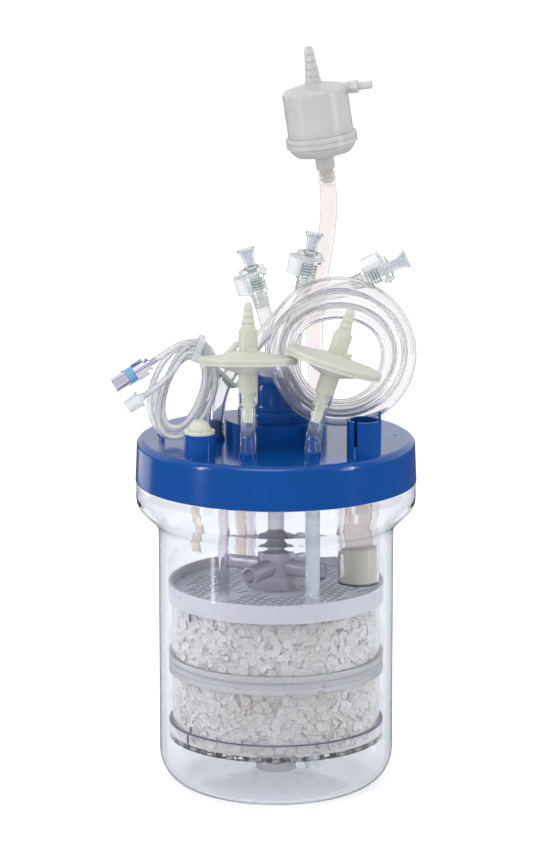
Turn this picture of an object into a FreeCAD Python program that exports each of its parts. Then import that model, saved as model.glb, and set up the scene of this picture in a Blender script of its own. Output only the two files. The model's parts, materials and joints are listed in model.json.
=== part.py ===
"""Single-use packed-bed bench bioreactor: a parametric FreeCAD document, in millimetres.

Frame: the origin is the centre of the vessel's underside, +Z is up and the vent filters stand at
the front, on the -Y side. Driving sizes are cells of the sheet "sizes". Each sub-part is an
object of the document whose Label is the name of its STEP file.
"""
import FreeCAD, Part
import math
import os
from types import SimpleNamespace

import Sketcher
from FreeCAD import Placement, Rotation, Vector

SIZES = {
    # Clear vessel
    "body_radius": 87.5, "wall": 2.5, "base_round": 26, "foot_radius": 50, "floor_rise": 10,
    "collar_step": 16.5, "shoulder_z": 198.5, "shoulder_low_round": 14,
    "shoulder_top_round": 12, "ledge_z": 233, "rim_step": 2.8,
    # Lid moulding
    "lid_skirt": 3.15, "lid_draft": 1.1, "lid_round": 5, "lid_top_z": 265, "plate": 4,
    "skirt_gap": 0.15, "rim_gap": 0.3, "hub_radius": 38, "hub_height": 15, "hub_wall": 3,
    "dimple_radius": 1.2, "dimple_depth": 1.5, "dimple_side": 16, "dimple_y": 4,
    # Hose ports on the lid, and the sockets under it
    "hose_bore": 4.2, "barb_gap": 0.1, "barb_undercut": 0.7, "port_radius": 6.5,
    "port_height": 3, "port_barb": 12, "port_bore": 2.2, "socket_wall": 2, "socket_depth": 8,
    "socket_gap": 0.1, "thin_bore": 1.6, "thin_port_radius": 3.6, "thin_barb": 7,
    "thin_port_bore": 0.8,
    # Large plugged port and slotted holder
    "sleeve_radius": 11.6, "sleeve_bore": 8.5, "sleeve_height": 17, "sleeve_x": -55.5,
    "sleeve_front": 39.5, "plug_gap": 0.3, "plug_stem": 13, "plug_brim_radius": 11,
    "plug_brim": 2.5, "plug_dome_radius": 8.2, "plug_dome": 7,
    "holder_radius": 12.6, "holder_wall": 2.4, "holder_height": 26, "holder_slot": 2.4,
    "holder_slot_floor": 8, "holder_x": 64, "holder_front": 44.5, "holder_rib": 6,
    "holder_rib_width": 3,
    # Drive housing, magnet carrier and bearing
    "flange_radius": 28.5, "flange_height": 8.6, "flange_round": 3, "tower_radius": 21.5,
    "tower_height": 33, "tower_round": 9, "tower_fillet": 3.5, "tower_wall": 2.5,
    "tower_roof": 3, "bearing_radius": 11, "bearing_length": 30, "bearing_flange": 14,
    "bearing_rim": 2, "carrier_radius": 17.5, "carrier_height": 20, "carrier_cup": 18,
    "magnet_radius": 4, "magnet_height": 12, "magnet_ring": 11.5, "magnet_count": 4,
    # Shaft and impeller
    "shaft_radius": 6, "shaft_gap": 0.05, "arm_z": 167, "bell_z": 181.8, "bell_height": 6.4,
    "bell_radius": 11.3, "impeller_hub": 13.5, "impeller_wall": 2, "skirt_radius": 22,
    "skirt_z": 152, "skirt_round_z": 160, "arm_radius": 6.75, "arm_bore": 5.25,
    "arm_reach": 40, "arm_count": 4, "arm_turn": 60,
    # Packed-bed basket
    "basket_clearance": 4.5, "ring_wall": 2.5, "basket_wall": 2, "basket_gap": 0.1,
    "lid_ring_z": 142.6, "lid_ring_height": 14, "screen_z": 146.5, "screen": 3,
    "mid_ring_z": 88.6, "mid_ring_height": 13.6, "partition": 2.4, "partition_drop": 6,
    "cup_z": 37.4, "cup_floor": 3, "cup_band": 12.3, "ring_groove": 0.8,
    "core_radius": 15, "core_wall": 2, "core_flange": 20, "core_flange_height": 3,
    "floor_gap": 0.2, "window_z": 16, "window_height": 13, "window_width": 9,
    "window_count": 4, "bed_gap": 0.3, "tube_hole_gap": 0.5, "slot_length": 11,
    "slot_width": 1.6, "slot_pitch": 3.6, "slot_bridge": 2.4, "slot_turn": 42,
    "screen_margin": 4.5, "drain_radius": 3, "drain_count": 24,
    # Tubes that hang from the lid
    "sparge_x": 26.6, "sparge_front": 22, "sparge_radius": 5.3, "sparge_z": 29,
    "sparge_wall": 1.4, "level_x": -38.6, "level_y": -26.3, "level_radius": 3.9,
    "level_wall": 1.1, "level_z": 150.2, "outer_tube_x": -59.6, "outer_tube_y": 20,
    "outer_tube_radius": 3.6, "outer_tube_z": 173, "rear_tube_x": -26.5, "rear_tube_y": 40,
    "rear_tube_radius": 4.3, "rear_tube_z": 168, "return_x": -18.8, "return_y": 54,
    "return_radius": 3.5, "return_z": 163.5, "tube_wall": 1.0, "well_side": 24.3, "well_y": -24,
    "well_radius": 15.2, "well_wall": 1.5, "well_z": 160, "cartridge_gap": 0.4,
    "cartridge_height": 26, "cartridge_stem": 10, "foot_disc_radius": 9,
    # Vent filters
    "disc_radius": 35.9, "disc_rim": 5.2, "disc_cone": 4.7, "disc_under": 7.2,
    "disc_flat": 27, "disc_wall": 1.8, "disc_hub": 6.8, "disc_neck": 19.8, "disc_barb": 19.5,
    "disc_barb_tip": 2.9, "disc_stem": 23.2, "disc_stem_radius": 7, "disc_tail": 22,
    "disc_bore": 2, "disc_tab_height": 7.1,
    "membrane": 0.6, "membrane_margin": 5, "disc_tab": 3.4, "left_vent_x": -20.2,
    "left_vent_front": 37.5, "left_bend_z": 283, "left_stem_z": 311.9,
    "right_bend_z": 284, "right_stem_z": 310.7,
    "vent_hose_radius": 5.7, "vent_hose_flare": 7.3, "vent_flare_length": 9,
    "left_lean_side": 0, "left_lean_back": 8, "left_tab_turn": 20,
    "right_lean_side": 17.6, "right_lean_back": 5, "right_tab_turn": 70,
    # Capsule filter on the tall hose
    "capsule_radius": 24.3, "capsule_wall": 2.2, "capsule_neck_radius": 7,
    "capsule_neck": 8.5, "capsule_belly": 18, "capsule_band": 7.5, "capsule_band_radius": 26.4,
    "capsule_height": 61, "capsule_round": 4, "capsule_crown": 3.5, "capsule_top_barb": 26.5,
    "capsule_top_root": 6.2, "capsule_top_tip": 3.4, "capsule_tail": 10.8, "core_filter": 18,
    "core_filter_bore": 6, "pleat_count": 28, "pleat_depth": 3, "vent_boss_radius": 4.2,
    "vent_boss": 2.5, "vent_spigot": 2, "vent_hex": 5.2, "vent_hex_length": 5.5,
    "vent_nozzle": 2.8, "vent_nozzle_length": 10.4, "vent_drop": 3.5, "vent_fit": 0.06,
    # Quick connectors
    "socket_body": 6.8, "socket_body_length": 13.5, "collar_rim": 9.6, "collar_lip": 2.2,
    "collar_gap_height": 2.8, "collar_core": 6, "plug_bore": 4.1, "plug_fit": 0.08,
    "plug_depth": 15.5, "plug_flange": 5.4, "plug_flange_height": 1.2, "plug_neck": 4.1,
    "plug_rim": 6.7, "plug_reach": 14.6, "connector_tail": 10, "tail_bore": 2.4,
    "latch_play": 0.2, "latch_travel": 1.5, "latch_arm": 9.2, "latch_out": 12.2,
    "latch_tab": 2, "latch_tab_width": 13, "latch_tab_drop": 12.5,
    # Hoses that lie free, and their coils
    "line_radius": 5.4, "branch_radius": 5.4, "tall_radius": 6.3, "thin_radius": 2.2,
    "coil_x": 46, "coil_y": -17, "coil_z": 332.7, "coil_mid": 44, "coil_half_width": 14.5,
    "coil_half_depth": 8.4, "coil_lean": 28, "small_coil_x": -68, "small_coil_y": -26.5,
    "small_coil_z": 306, "small_coil_long": 40, "small_coil_short": 24,
    "small_coil_width": 13, "small_coil_depth": 15, "small_coil_round": 5,
    "small_coil_lean": 20,
    # Luer valve, cap, cable tie and pinch clamp
    "thin_tail": 5.6, "luer_rear": 4.6, "luer_neck": 3.8, "luer_collar": 2.5,
    "luer_grip_start": 4, "luer_grip": 6.6, "luer_ring_start": 13, "luer_ring_length": 6.5,
    "luer_ring_radius": 5.9, "luer_ring_seat": 4.2, "luer_flange": 6.3,
    "luer_flange_length": 2, "luer_barrel": 5.2, "luer_bore": 3.6, "luer_length": 31,
    "cap_stem_radius": 3, "cap_stem": 3, "cap_flange": 6.2, "cap_flange_length": 1.6,
    "cap_radius": 5.4, "cap_length": 15, "tie_width": 5, "tie_thick": 1.5, "tie_slack": 1.2,
    "tie_head": 6, "clamp_length": 31, "clamp_height": 24, "clamp_width": 19,
    "clamp_strip": 2.4, "clamp_gap": 0.3, "clamp_hole_gap": 1.5, "clamp_step": 24,
}

DIAGONAL = math.sqrt(0.5)
HALF_TURN_45 = math.tan(math.radians(22.5))

# Routes of the free hoses: corners chosen by hand, from the lid outwards.
CAPSULE_ROUTE = [(31, 44, 268), (31, 44, 300), (28.2, 44, 335), (32, 40, 376),
                 (38.2, 36, 412), (39.8, 34, 441.3), (36.9, 34, 461.1)]
LEFT_ROUTE = [(-4, 52, 268), (-4, 52, 292), (-2, 44, 318), (-5.5, 28, 343.3),
              (-12.6, 28, 367.3)]
MIDDLE_ROUTE = [(14, 50.5, 268), (14, 50.5, 294), (13, 37, 326), (16.3, 20, 355.5),
                (21.4, 20, 380)]
LINE_ROUTE = [(-44.4, -9, 268), (-44.4, -9, 304), (-15, 5, 333.5), (2, -4, 356)]
LINE_END_ROUTE = [(15, 4, 360), (40.6, 22, 367.7), (65.3, 22, 379.7)]
VALVE_RISER = [(-85, 12, 267), (-85, 12, 281), (-85.4, 5, 294), (-86.5, -6, 303.5),
               (-86.5, -19, 303.5)]
CAP_RISER = [(-54, 17, 267), (-54, 17, 280), (-53.4, 9, 292), (-52, -5.5, 298.5),
             (-52, -19, 298.5)]
VALVE_LEAD = [(-52, -29, 338.5), (-67, -33, 344), (-80.5, -38.2, 335.8),
              (-91.9, -40, 328.8)]
CAP_LEAD = [(-66, -31, 331), (-75.5, -39, 321.5), (-85.9, -39.8, 311.8),
            (-96.5, -42, 304.8)]

doc = FreeCAD.newDocument("bench_bioreactor")
sheet = doc.addObject("Spreadsheet::Sheet", "sizes")
for row, (alias, value) in enumerate(SIZES.items(), start=1):
    sheet.set(f"A{row}", alias)
    sheet.set(f"B{row}", str(value))
    sheet.setAlias(f"B{row}", alias)
doc.recompute()


class Size:
    """A length that knows its value now and the sheet expression that drives it."""

    def __init__(self, value, text):
        self.value = float(value)
        self.text = text

    def __add__(self, other):
        other = as_size(other)
        return Size(self.value + other.value, f"({self.text} + {other.text})")

    def __sub__(self, other):
        other = as_size(other)
        return Size(self.value - other.value, f"({self.text} - {other.text})")

    def __mul__(self, factor):
        factor = as_size(factor)
        return Size(self.value * factor.value, f"({self.text} * {factor.text})")

    def __truediv__(self, other):
        other = as_size(other)
        return Size(self.value / other.value, f"({self.text} / {other.text})")

    def __radd__(self, other):
        return as_size(other) + self

    def __rsub__(self, other):
        return as_size(other) - self

    def __rmul__(self, other):
        return as_size(other) * self

    def __neg__(self):
        return as_size(0) - self

    def __float__(self):
        return self.value


def as_size(number):
    return number if isinstance(number, Size) else Size(number, repr(float(number)))


s = SimpleNamespace(**{name: Size(sheet.get(name), f"{sheet.Name}.{name}") for name in SIZES})
sub_parts = []


def bind(target, prop, length):
    """Set a property to a size and tie it to the sheet."""
    target.setExpression(prop, as_size(length).text)


def register(item, label):
    item.Label = label
    sub_parts.append(item)
    return item


def place(item, at=(0, 0, 0), turn=None):
    """Put an object at a point given in sizes, turned by a fixed rotation."""
    item.Placement = Placement(Vector(*[float(a) for a in at]), turn or Rotation())
    for axis, length in zip("xyz", at):
        if isinstance(length, Size):
            bind(item, f"Placement.Base.{axis}", length)


def new_body(label, at=(0, 0, 0), turn=None):
    body = register(doc.addObject("PartDesign::Body", label), label)
    place(body, at, turn)
    return body


def new_sketch(body, plane, shift=(0, 0), depth=0):
    """An empty sketch on one of the body's own planes, moved within it and off it."""
    sketch = body.newObject("Sketcher::SketchObject", "sketch")
    role = next(f for f in body.Origin.OriginFeatures if f.Role == plane)
    sketch.AttachmentSupport = [(role, "")]
    sketch.MapMode = "FlatFace"
    for axis, length in zip("xyz", (*shift, depth)):
        bind(sketch, f"AttachmentOffset.Base.{axis}", length)
    return sketch


def fix_point(sketch, geometry, position, x, y):
    """Hold one point of a sketch at (x, y) from the sketch's origin."""
    for kind, length, axis in (("DistanceX", x, -2), ("DistanceY", y, -1)):
        length = as_size(length)
        if length.value == 0:
            sketch.addConstraint(Sketcher.Constraint("PointOnObject", geometry, position, axis))
        else:
            number = sketch.addConstraint(
                Sketcher.Constraint(kind, -1, 1, geometry, position, length.value))
            sketch.setExpression(f"Constraints[{number}]", length.text)


def draw_outline(sketch, corners):
    """Draw a closed outline. A corner is (x, y), or (x, y, radius, side) when the edge that
    arrives at it is an arc, with side +1 where its centre lies to the left of the travel."""
    first = sketch.GeometryCount
    count = len(corners)
    ends = {}
    for index, corner in enumerate(corners):
        previous = corners[index - 1]
        start = Vector(float(previous[0]), float(previous[1]), 0)
        end = Vector(float(corner[0]), float(corner[1]), 0)
        if len(corner) == 2:
            geometry = sketch.addGeometry(Part.LineSegment(start, end))
            ends[index] = (geometry, 1, 2)
            continue
        radius, side = corner[2], corner[3]
        chord = end - start
        rise = math.sqrt(float(radius) ** 2 - (chord.Length / 2) ** 2)
        normal = Vector(-chord.y, chord.x, 0).normalize()
        centre = (start + end) * 0.5 + normal * (rise * side)
        angles = [math.atan2(p.y - centre.y, p.x - centre.x) for p in (start, end)]
        if side < 0:
            angles.reverse()
        circle = Part.Circle(centre, Vector(0, 0, 1), float(radius))
        geometry = sketch.addGeometry(Part.ArcOfCircle(circle, *angles))
        ends[index] = (geometry, 1, 2) if side > 0 else (geometry, 2, 1)
        number = sketch.addConstraint(Sketcher.Constraint("Radius", geometry, float(radius)))
        sketch.setExpression(f"Constraints[{number}]", as_size(radius).text)
    for index, corner in enumerate(corners):
        here, after = ends[index], ends[(index + 1) % count]
        sketch.addConstraint(Sketcher.Constraint("Coincident", here[0], here[2],
                                                 after[0], after[1]))
        fix_point(sketch, here[0], here[2], corner[0], corner[1])
    return first


def draw_circle(sketch, x, y, radius):
    circle = Part.Circle(Vector(float(x), float(y), 0), Vector(0, 0, 1), float(radius))
    geometry = sketch.addGeometry(circle)
    fix_point(sketch, geometry, 3, x, y)
    number = sketch.addConstraint(Sketcher.Constraint("Radius", geometry, float(radius)))
    sketch.setExpression(f"Constraints[{number}]", as_size(radius).text)


def draw_half_disc(sketch, radius, side):
    """A half disc about the sketch's origin, above the X axis for side +1, below it for -1."""
    radius = as_size(radius)
    start, end = (0, math.pi) if side > 0 else (math.pi, 2 * math.pi)
    circle = Part.Circle(Vector(0, 0, 0), Vector(0, 0, 1), radius.value)
    arc = sketch.addGeometry(Part.ArcOfCircle(circle, start, end))
    reach = Vector(radius.value * side, 0, 0)
    line = sketch.addGeometry(Part.LineSegment(-reach, reach))
    sketch.addConstraint(Sketcher.Constraint("Coincident", arc, 3, -1, 1))
    sketch.addConstraint(Sketcher.Constraint("Coincident", arc, 2, line, 1))
    sketch.addConstraint(Sketcher.Constraint("Coincident", arc, 1, line, 2))
    sketch.addConstraint(Sketcher.Constraint("PointOnObject", arc, 1, -1))
    sketch.addConstraint(Sketcher.Constraint("PointOnObject", arc, 2, -1))
    number = sketch.addConstraint(Sketcher.Constraint("Radius", arc, radius.value))
    sketch.setExpression(f"Constraints[{number}]", radius.text)


def turned(body, corners, centre=(0, 0), cut=False):
    """Revolve an (r, z) outline about a vertical axis through centre."""
    sketch = new_sketch(body, "XZ_Plane", (centre[0], 0), -as_size(centre[1]))
    draw_outline(sketch, corners)
    kind = "PartDesign::Groove" if cut else "PartDesign::Revolution"
    feature = body.newObject(kind, "turned")
    feature.Profile = sketch
    feature.ReferenceAxis = (sketch, ["V_Axis"])
    feature.Angle = 360
    return feature


def padded(body, sketch, length, cut=False, middle=False, back=False):
    """Pad or pocket a sketch; a pocket is cut towards the sketch's normal unless back."""
    feature = body.newObject("PartDesign::Pocket" if cut else "PartDesign::Pad", "padded")
    feature.Profile = sketch
    bind(feature, "Length", length)
    feature.Midplane = middle
    feature.Reversed = back != cut
    return feature


def around(body, features, sketch, count):
    """Repeat features about the sketch's vertical axis and end the body there."""
    pattern = body.newObject("PartDesign::PolarPattern", "around")
    pattern.Originals = features
    pattern.Axis = (sketch, ["V_Axis"])
    pattern.Angle = 360
    bind(pattern, "Occurrences", count)
    body.Tip = pattern
    return pattern


def barb(start, length, base, tip, steps):
    """Corners of a stepped hose barb that narrows from base to tip along z."""
    corners = []
    for step in range(steps):
        wide = base + (tip - base) * (step / steps)
        narrow = base + (tip - base) * ((step + 1) / steps) - s.barb_undercut
        corners += [(wide, start + length * (step / steps)),
                    (narrow, start + length * ((step + 1) / steps))]
    return corners


def hose_barb(start, length, steps=3):
    """A barb that a hose of the common bore slides over."""
    crest = s.hose_bore - s.barb_gap
    return barb(start, length, crest, crest - s.barb_gap, steps)


def route_wire(points):
    """Straight runs joined by tangent arcs, each as large as its two runs allow."""
    points = [Vector(*[float(c) for c in p]) for p in points]
    edges, radii, start = [], [], points[0]
    for before, corner, after in zip(points, points[1:], points[2:]):
        way_in = (corner - before).normalize()
        way_out = (after - corner).normalize()
        half = way_in.getAngle(way_out) / 2
        reach = 0.45 * min((corner - before).Length, (after - corner).Length)
        radius = reach / math.tan(half)
        inward = (way_out - way_in).normalize()
        middle = corner + inward * (radius / math.cos(half) - radius)
        edges.append(Part.LineSegment(start, corner - way_in * reach).toShape())
        start = corner + way_out * reach
        edges.append(Part.Arc(corner - way_in * reach, middle, start).toShape())
        radii.append(radius)
    edges.append(Part.LineSegment(start, points[-1]).toShape())
    return Part.Wire(edges), radii


def swept(points, radius):
    """A round bar along a route."""
    wire, radii = route_wire(points)
    start, second = [Vector(*[float(c) for c in p]) for p in points[:2]]
    section = Part.Wire([Part.makeCircle(float(radius), start, second - start)])
    return wire.makePipeShell([section], True, True), wire.Length, radii


def solid_feature(label, shape, placement=None):
    """A sub-part whose shape comes from Part's own functions and the sheet's values."""
    item = register(doc.addObject("Part::Feature", label), label)
    item.Shape = shape
    if placement:
        item.Placement = placement.multiply(item.Placement)
    return item


def hose(label, points, radius, bore):
    """A hollow hose along a route, with its arcs and volume reported."""
    outside, length, radii = swept(points, radius)
    shape = outside.cut(swept(points, bore)[0])
    expected = math.pi * (float(radius) ** 2 - float(bore) ** 2) * length
    arcs = " ".join(f"{r:.0f}" for r in radii)
    print(f"{label}: length {length:.1f}, volume / (section x length) "
          f"{shape.Volume / expected:.4f}, arc radii {arcs}")
    return solid_feature(label, shape)


def end_frame(points, spin=0):
    """Placement at a route's last point, with Z along its last run and X spun about Z."""
    before, last = [Vector(*[float(c) for c in p]) for p in points[-2:]]
    along = (last - before).normalize()
    aim = Rotation(Vector(0, 0, 1), along)
    return Placement(last, aim * Rotation(Vector(0, 0, 1), spin))


def heading(points, towards):
    """The spin about a route's last run that turns the local X axis towards a direction."""
    frame = end_frame(points)
    local = frame.Rotation.inverted().multVec(Vector(*towards))
    return math.degrees(math.atan2(local.y, local.x))


# ------------------------------------------------------------------ shared heights and radii
collar_radius = s.body_radius + s.collar_step
rim_radius = collar_radius - s.rim_step
lid_radius = rim_radius + s.skirt_gap + s.lid_skirt
inner_radius = s.body_radius - s.wall
basket_radius = inner_radius - s.basket_clearance
basket_wall_radius = basket_radius - s.ring_wall
lid_under = s.lid_top_z - s.plate
rim_z = lid_under - s.rim_gap
hub_z = s.lid_top_z + s.hub_height
shoulder_top_z = s.shoulder_z + collar_radius - s.body_radius
shaft_bore = s.shaft_radius + s.shaft_gap
carrier_z = hub_z + s.bearing_rim + s.rim_gap
cup_inner = basket_wall_radius - s.basket_wall
bed_radius = cup_inner - s.bed_gap
bed_bore = s.core_radius + s.bed_gap
screen_top = s.screen_z + s.screen
partition_z = s.mid_ring_z + s.partition_drop
SPARGE = (s.sparge_x, s.sparge_front - inner_radius)
LEFT_VENT = (s.left_vent_x, s.left_vent_front - lid_radius)
SLEEVE = (s.sleeve_x, s.sleeve_front - lid_radius)
HOLDER = (s.holder_x, s.holder_front - lid_radius)
WELL = (inner_radius - s.well_side, s.well_y)


def floor_z(radius):
    """Height of the vessel's inner floor, a shallow cone, at a radius."""
    return s.wall + s.floor_rise * (1 - radius / s.foot_radius)


# ------------------------------------------------------------------------------------ vessel
def make_vessel():
    low = s.shoulder_low_round * HALF_TURN_45
    top = s.shoulder_top_round * HALF_TURN_45
    inset = s.wall * DIAGONAL
    low_end = (s.body_radius + low * DIAGONAL, s.shoulder_z + low * DIAGONAL)
    top_start = (collar_radius - top * DIAGONAL, shoulder_top_z - top * DIAGONAL)
    neck_radius = rim_radius - s.wall
    step = collar_radius - rim_radius
    body = new_body("vessel")
    turned(body, [
        (0, s.floor_rise), (s.foot_radius, 0), (s.body_radius - s.base_round, 0),
        (s.body_radius, s.base_round, s.base_round, 1),
        (s.body_radius, s.shoulder_z - low),
        (*low_end, s.shoulder_low_round, -1), top_start,
        (collar_radius, shoulder_top_z + top, s.shoulder_top_round, 1),
        (collar_radius, s.ledge_z), (rim_radius, s.ledge_z), (rim_radius, rim_z),
        (neck_radius, rim_z), (neck_radius, s.ledge_z - s.wall),
        (collar_radius - s.wall, s.ledge_z - s.wall - step),
        (collar_radius - s.wall, shoulder_top_z + top),
        (top_start[0] - inset, top_start[1] + inset, s.shoulder_top_round - s.wall, -1),
        (low_end[0] - inset, low_end[1] + inset),
        (s.body_radius - s.wall, s.shoulder_z - low, s.shoulder_low_round + s.wall, 1),
        (s.body_radius - s.wall, s.base_round),
        (s.body_radius - s.base_round, s.wall, s.base_round - s.wall, -1),
        (s.foot_radius, s.wall), (0, s.floor_rise + s.wall)])


# --------------------------------------------------------------------------------------- lid
HOSE_PORTS = [LEFT_VENT, SPARGE, LINE_ROUTE[0][:2],
              CAPSULE_ROUTE[0][:2], LEFT_ROUTE[0][:2], MIDDLE_ROUTE[0][:2]]
THIN_PORTS = [VALVE_RISER[0][:2], CAP_RISER[0][:2]]
DIP_TUBES = {
    "sparge_tube": (*SPARGE, s.sparge_radius, s.sparge_wall, s.sparge_z),
    "level_tube": (s.level_x, s.level_y, s.level_radius, s.level_wall, s.level_z),
    "outer_feed_tube": (s.outer_tube_x, s.outer_tube_y, s.outer_tube_radius, s.tube_wall,
                        s.outer_tube_z),
    "rear_feed_tube": (s.rear_tube_x, s.rear_tube_y, s.rear_tube_radius, s.tube_wall,
                       s.rear_tube_z),
    "return_tube": (s.return_x, s.return_y, s.return_radius, s.tube_wall, s.return_z),
}


def make_lid():
    skirt = rim_radius + s.skirt_gap
    top_radius = lid_radius - s.lid_draft
    hub_inside = s.hub_radius - s.hub_wall
    hub_under = hub_z - s.hub_wall
    seat = s.bearing_radius + s.skirt_gap
    sleeve = seat + s.hub_wall
    sleeve_end = hub_z - s.bearing_length
    body = new_body("lid")
    turned(body, [
        (seat, sleeve_end), (sleeve, sleeve_end), (sleeve, hub_under), (hub_inside, hub_under),
        (hub_inside, lid_under), (skirt, lid_under), (skirt, s.ledge_z),
        (lid_radius, s.ledge_z), (top_radius, s.lid_top_z - s.lid_round),
        (top_radius - s.lid_round, s.lid_top_z, s.lid_round, 1),
        (s.hub_radius, s.lid_top_z), (s.hub_radius, hub_z), (seat, hub_z)])

    shoulder_z = s.lid_top_z + s.port_height
    for x, y in HOSE_PORTS:
        turned(body, [(0, s.lid_top_z - s.rim_gap),
                      (s.port_radius, s.lid_top_z - s.rim_gap), (s.port_radius, shoulder_z),
                      *hose_barb(shoulder_z, s.port_barb),
                      (0, shoulder_z + s.port_barb)], (x, y))
    thin_z = VALVE_RISER[0][2]
    for x, y in THIN_PORTS:
        crest = s.thin_bore - s.barb_gap
        turned(body, [(0, s.lid_top_z - s.rim_gap),
                      (s.thin_port_radius, s.lid_top_z - s.rim_gap),
                      (s.thin_port_radius, thin_z), (crest, thin_z),
                      (crest, thin_z + s.thin_barb), (0, thin_z + s.thin_barb)], (x, y))

    top = new_sketch(body, "XY_Plane", depth=s.lid_top_z - s.rim_gap)
    draw_circle(top, *SLEEVE, s.sleeve_radius)
    padded(body, top, s.sleeve_height + s.rim_gap)
    holder = new_sketch(body, "XY_Plane", depth=s.lid_top_z - s.rim_gap)
    draw_circle(holder, *HOLDER, s.holder_radius)
    draw_circle(holder, *HOLDER, s.holder_radius - s.holder_wall)
    padded(body, holder, s.holder_height + s.rim_gap)
    rib = new_sketch(body, "XY_Plane", depth=s.lid_top_z + s.holder_height - s.rim_gap)
    rib_x = s.holder_x + s.holder_radius
    half_rib = s.holder_rib_width / 2
    rib_inside = rib_x - s.holder_wall
    draw_outline(rib, [(rib_x - s.skirt_gap * 2, HOLDER[1] + half_rib),
                       (rib_inside, HOLDER[1] + half_rib),
                       (rib_inside, HOLDER[1] - half_rib),
                       (rib_x - s.skirt_gap * 2, HOLDER[1] - half_rib)])
    padded(body, rib, s.holder_rib + s.rim_gap)

    sockets = new_sketch(body, "XY_Plane", depth=lid_under - s.socket_depth)
    for x, y, radius, _, _ in DIP_TUBES.values():
        draw_circle(sockets, x, y, radius + s.socket_gap + s.socket_wall)
    draw_circle(sockets, *WELL, s.well_radius + s.socket_gap + s.socket_wall)
    padded(body, sockets, s.socket_depth + s.rim_gap)
    seats = new_sketch(body, "XY_Plane", depth=lid_under)
    for x, y, radius, _, _ in DIP_TUBES.values():
        draw_circle(seats, x, y, radius + s.socket_gap)
    draw_circle(seats, *WELL, s.well_radius + s.socket_gap)
    padded(body, seats, s.socket_depth, cut=True, back=True)

    bore_top = shoulder_z + s.port_barb + s.rim_gap
    bores = new_sketch(body, "XY_Plane", depth=bore_top)
    for x, y in HOSE_PORTS:
        draw_circle(bores, x, y, s.port_bore)
    for x, y in THIN_PORTS:
        draw_circle(bores, x, y, s.thin_port_bore)
    padded(body, bores, bore_top - lid_under + s.socket_gap, cut=True, back=True)
    big_bore = new_sketch(body, "XY_Plane", depth=s.lid_top_z + s.sleeve_height)
    draw_circle(big_bore, *SLEEVE, s.sleeve_bore)
    padded(body, big_bore, s.sleeve_height + s.plate, cut=True, back=True)
    dimple = new_sketch(body, "XY_Plane", depth=s.lid_top_z)
    draw_circle(dimple, lid_radius - s.dimple_side, s.dimple_y, s.dimple_radius)
    padded(body, dimple, s.dimple_depth, cut=True, back=True)

    slot = new_sketch(body, "XZ_Plane", (s.holder_x - s.holder_radius / 2, s.lid_top_z),
                      -(HOLDER[1] - s.holder_radius - s.rim_gap))
    half_slot = s.holder_slot / 2
    draw_outline(slot, [(-half_slot, s.holder_slot_floor), (half_slot, s.holder_slot_floor),
                        (half_slot, s.holder_height + s.rim_gap),
                        (-half_slot, s.holder_height + s.rim_gap)])
    padded(body, slot, s.holder_radius, cut=True, back=True)


def make_port_plug():
    stem = s.sleeve_bore - s.plug_gap
    top = s.lid_top_z + s.sleeve_height
    brim = top + s.plug_brim
    crown = s.plug_dome_radius / 2
    body = new_body("port_plug", (*SLEEVE, 0))
    turned(body, [(0, top - s.plug_stem), (stem, top - s.plug_stem), (stem, top),
                  (s.plug_brim_radius, top), (s.plug_brim_radius, brim),
                  (s.plug_dome_radius, brim), (crown, brim + s.plug_dome,
                                               s.plug_dome_radius, 1),
                  (0, brim + s.plug_dome)])


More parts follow.
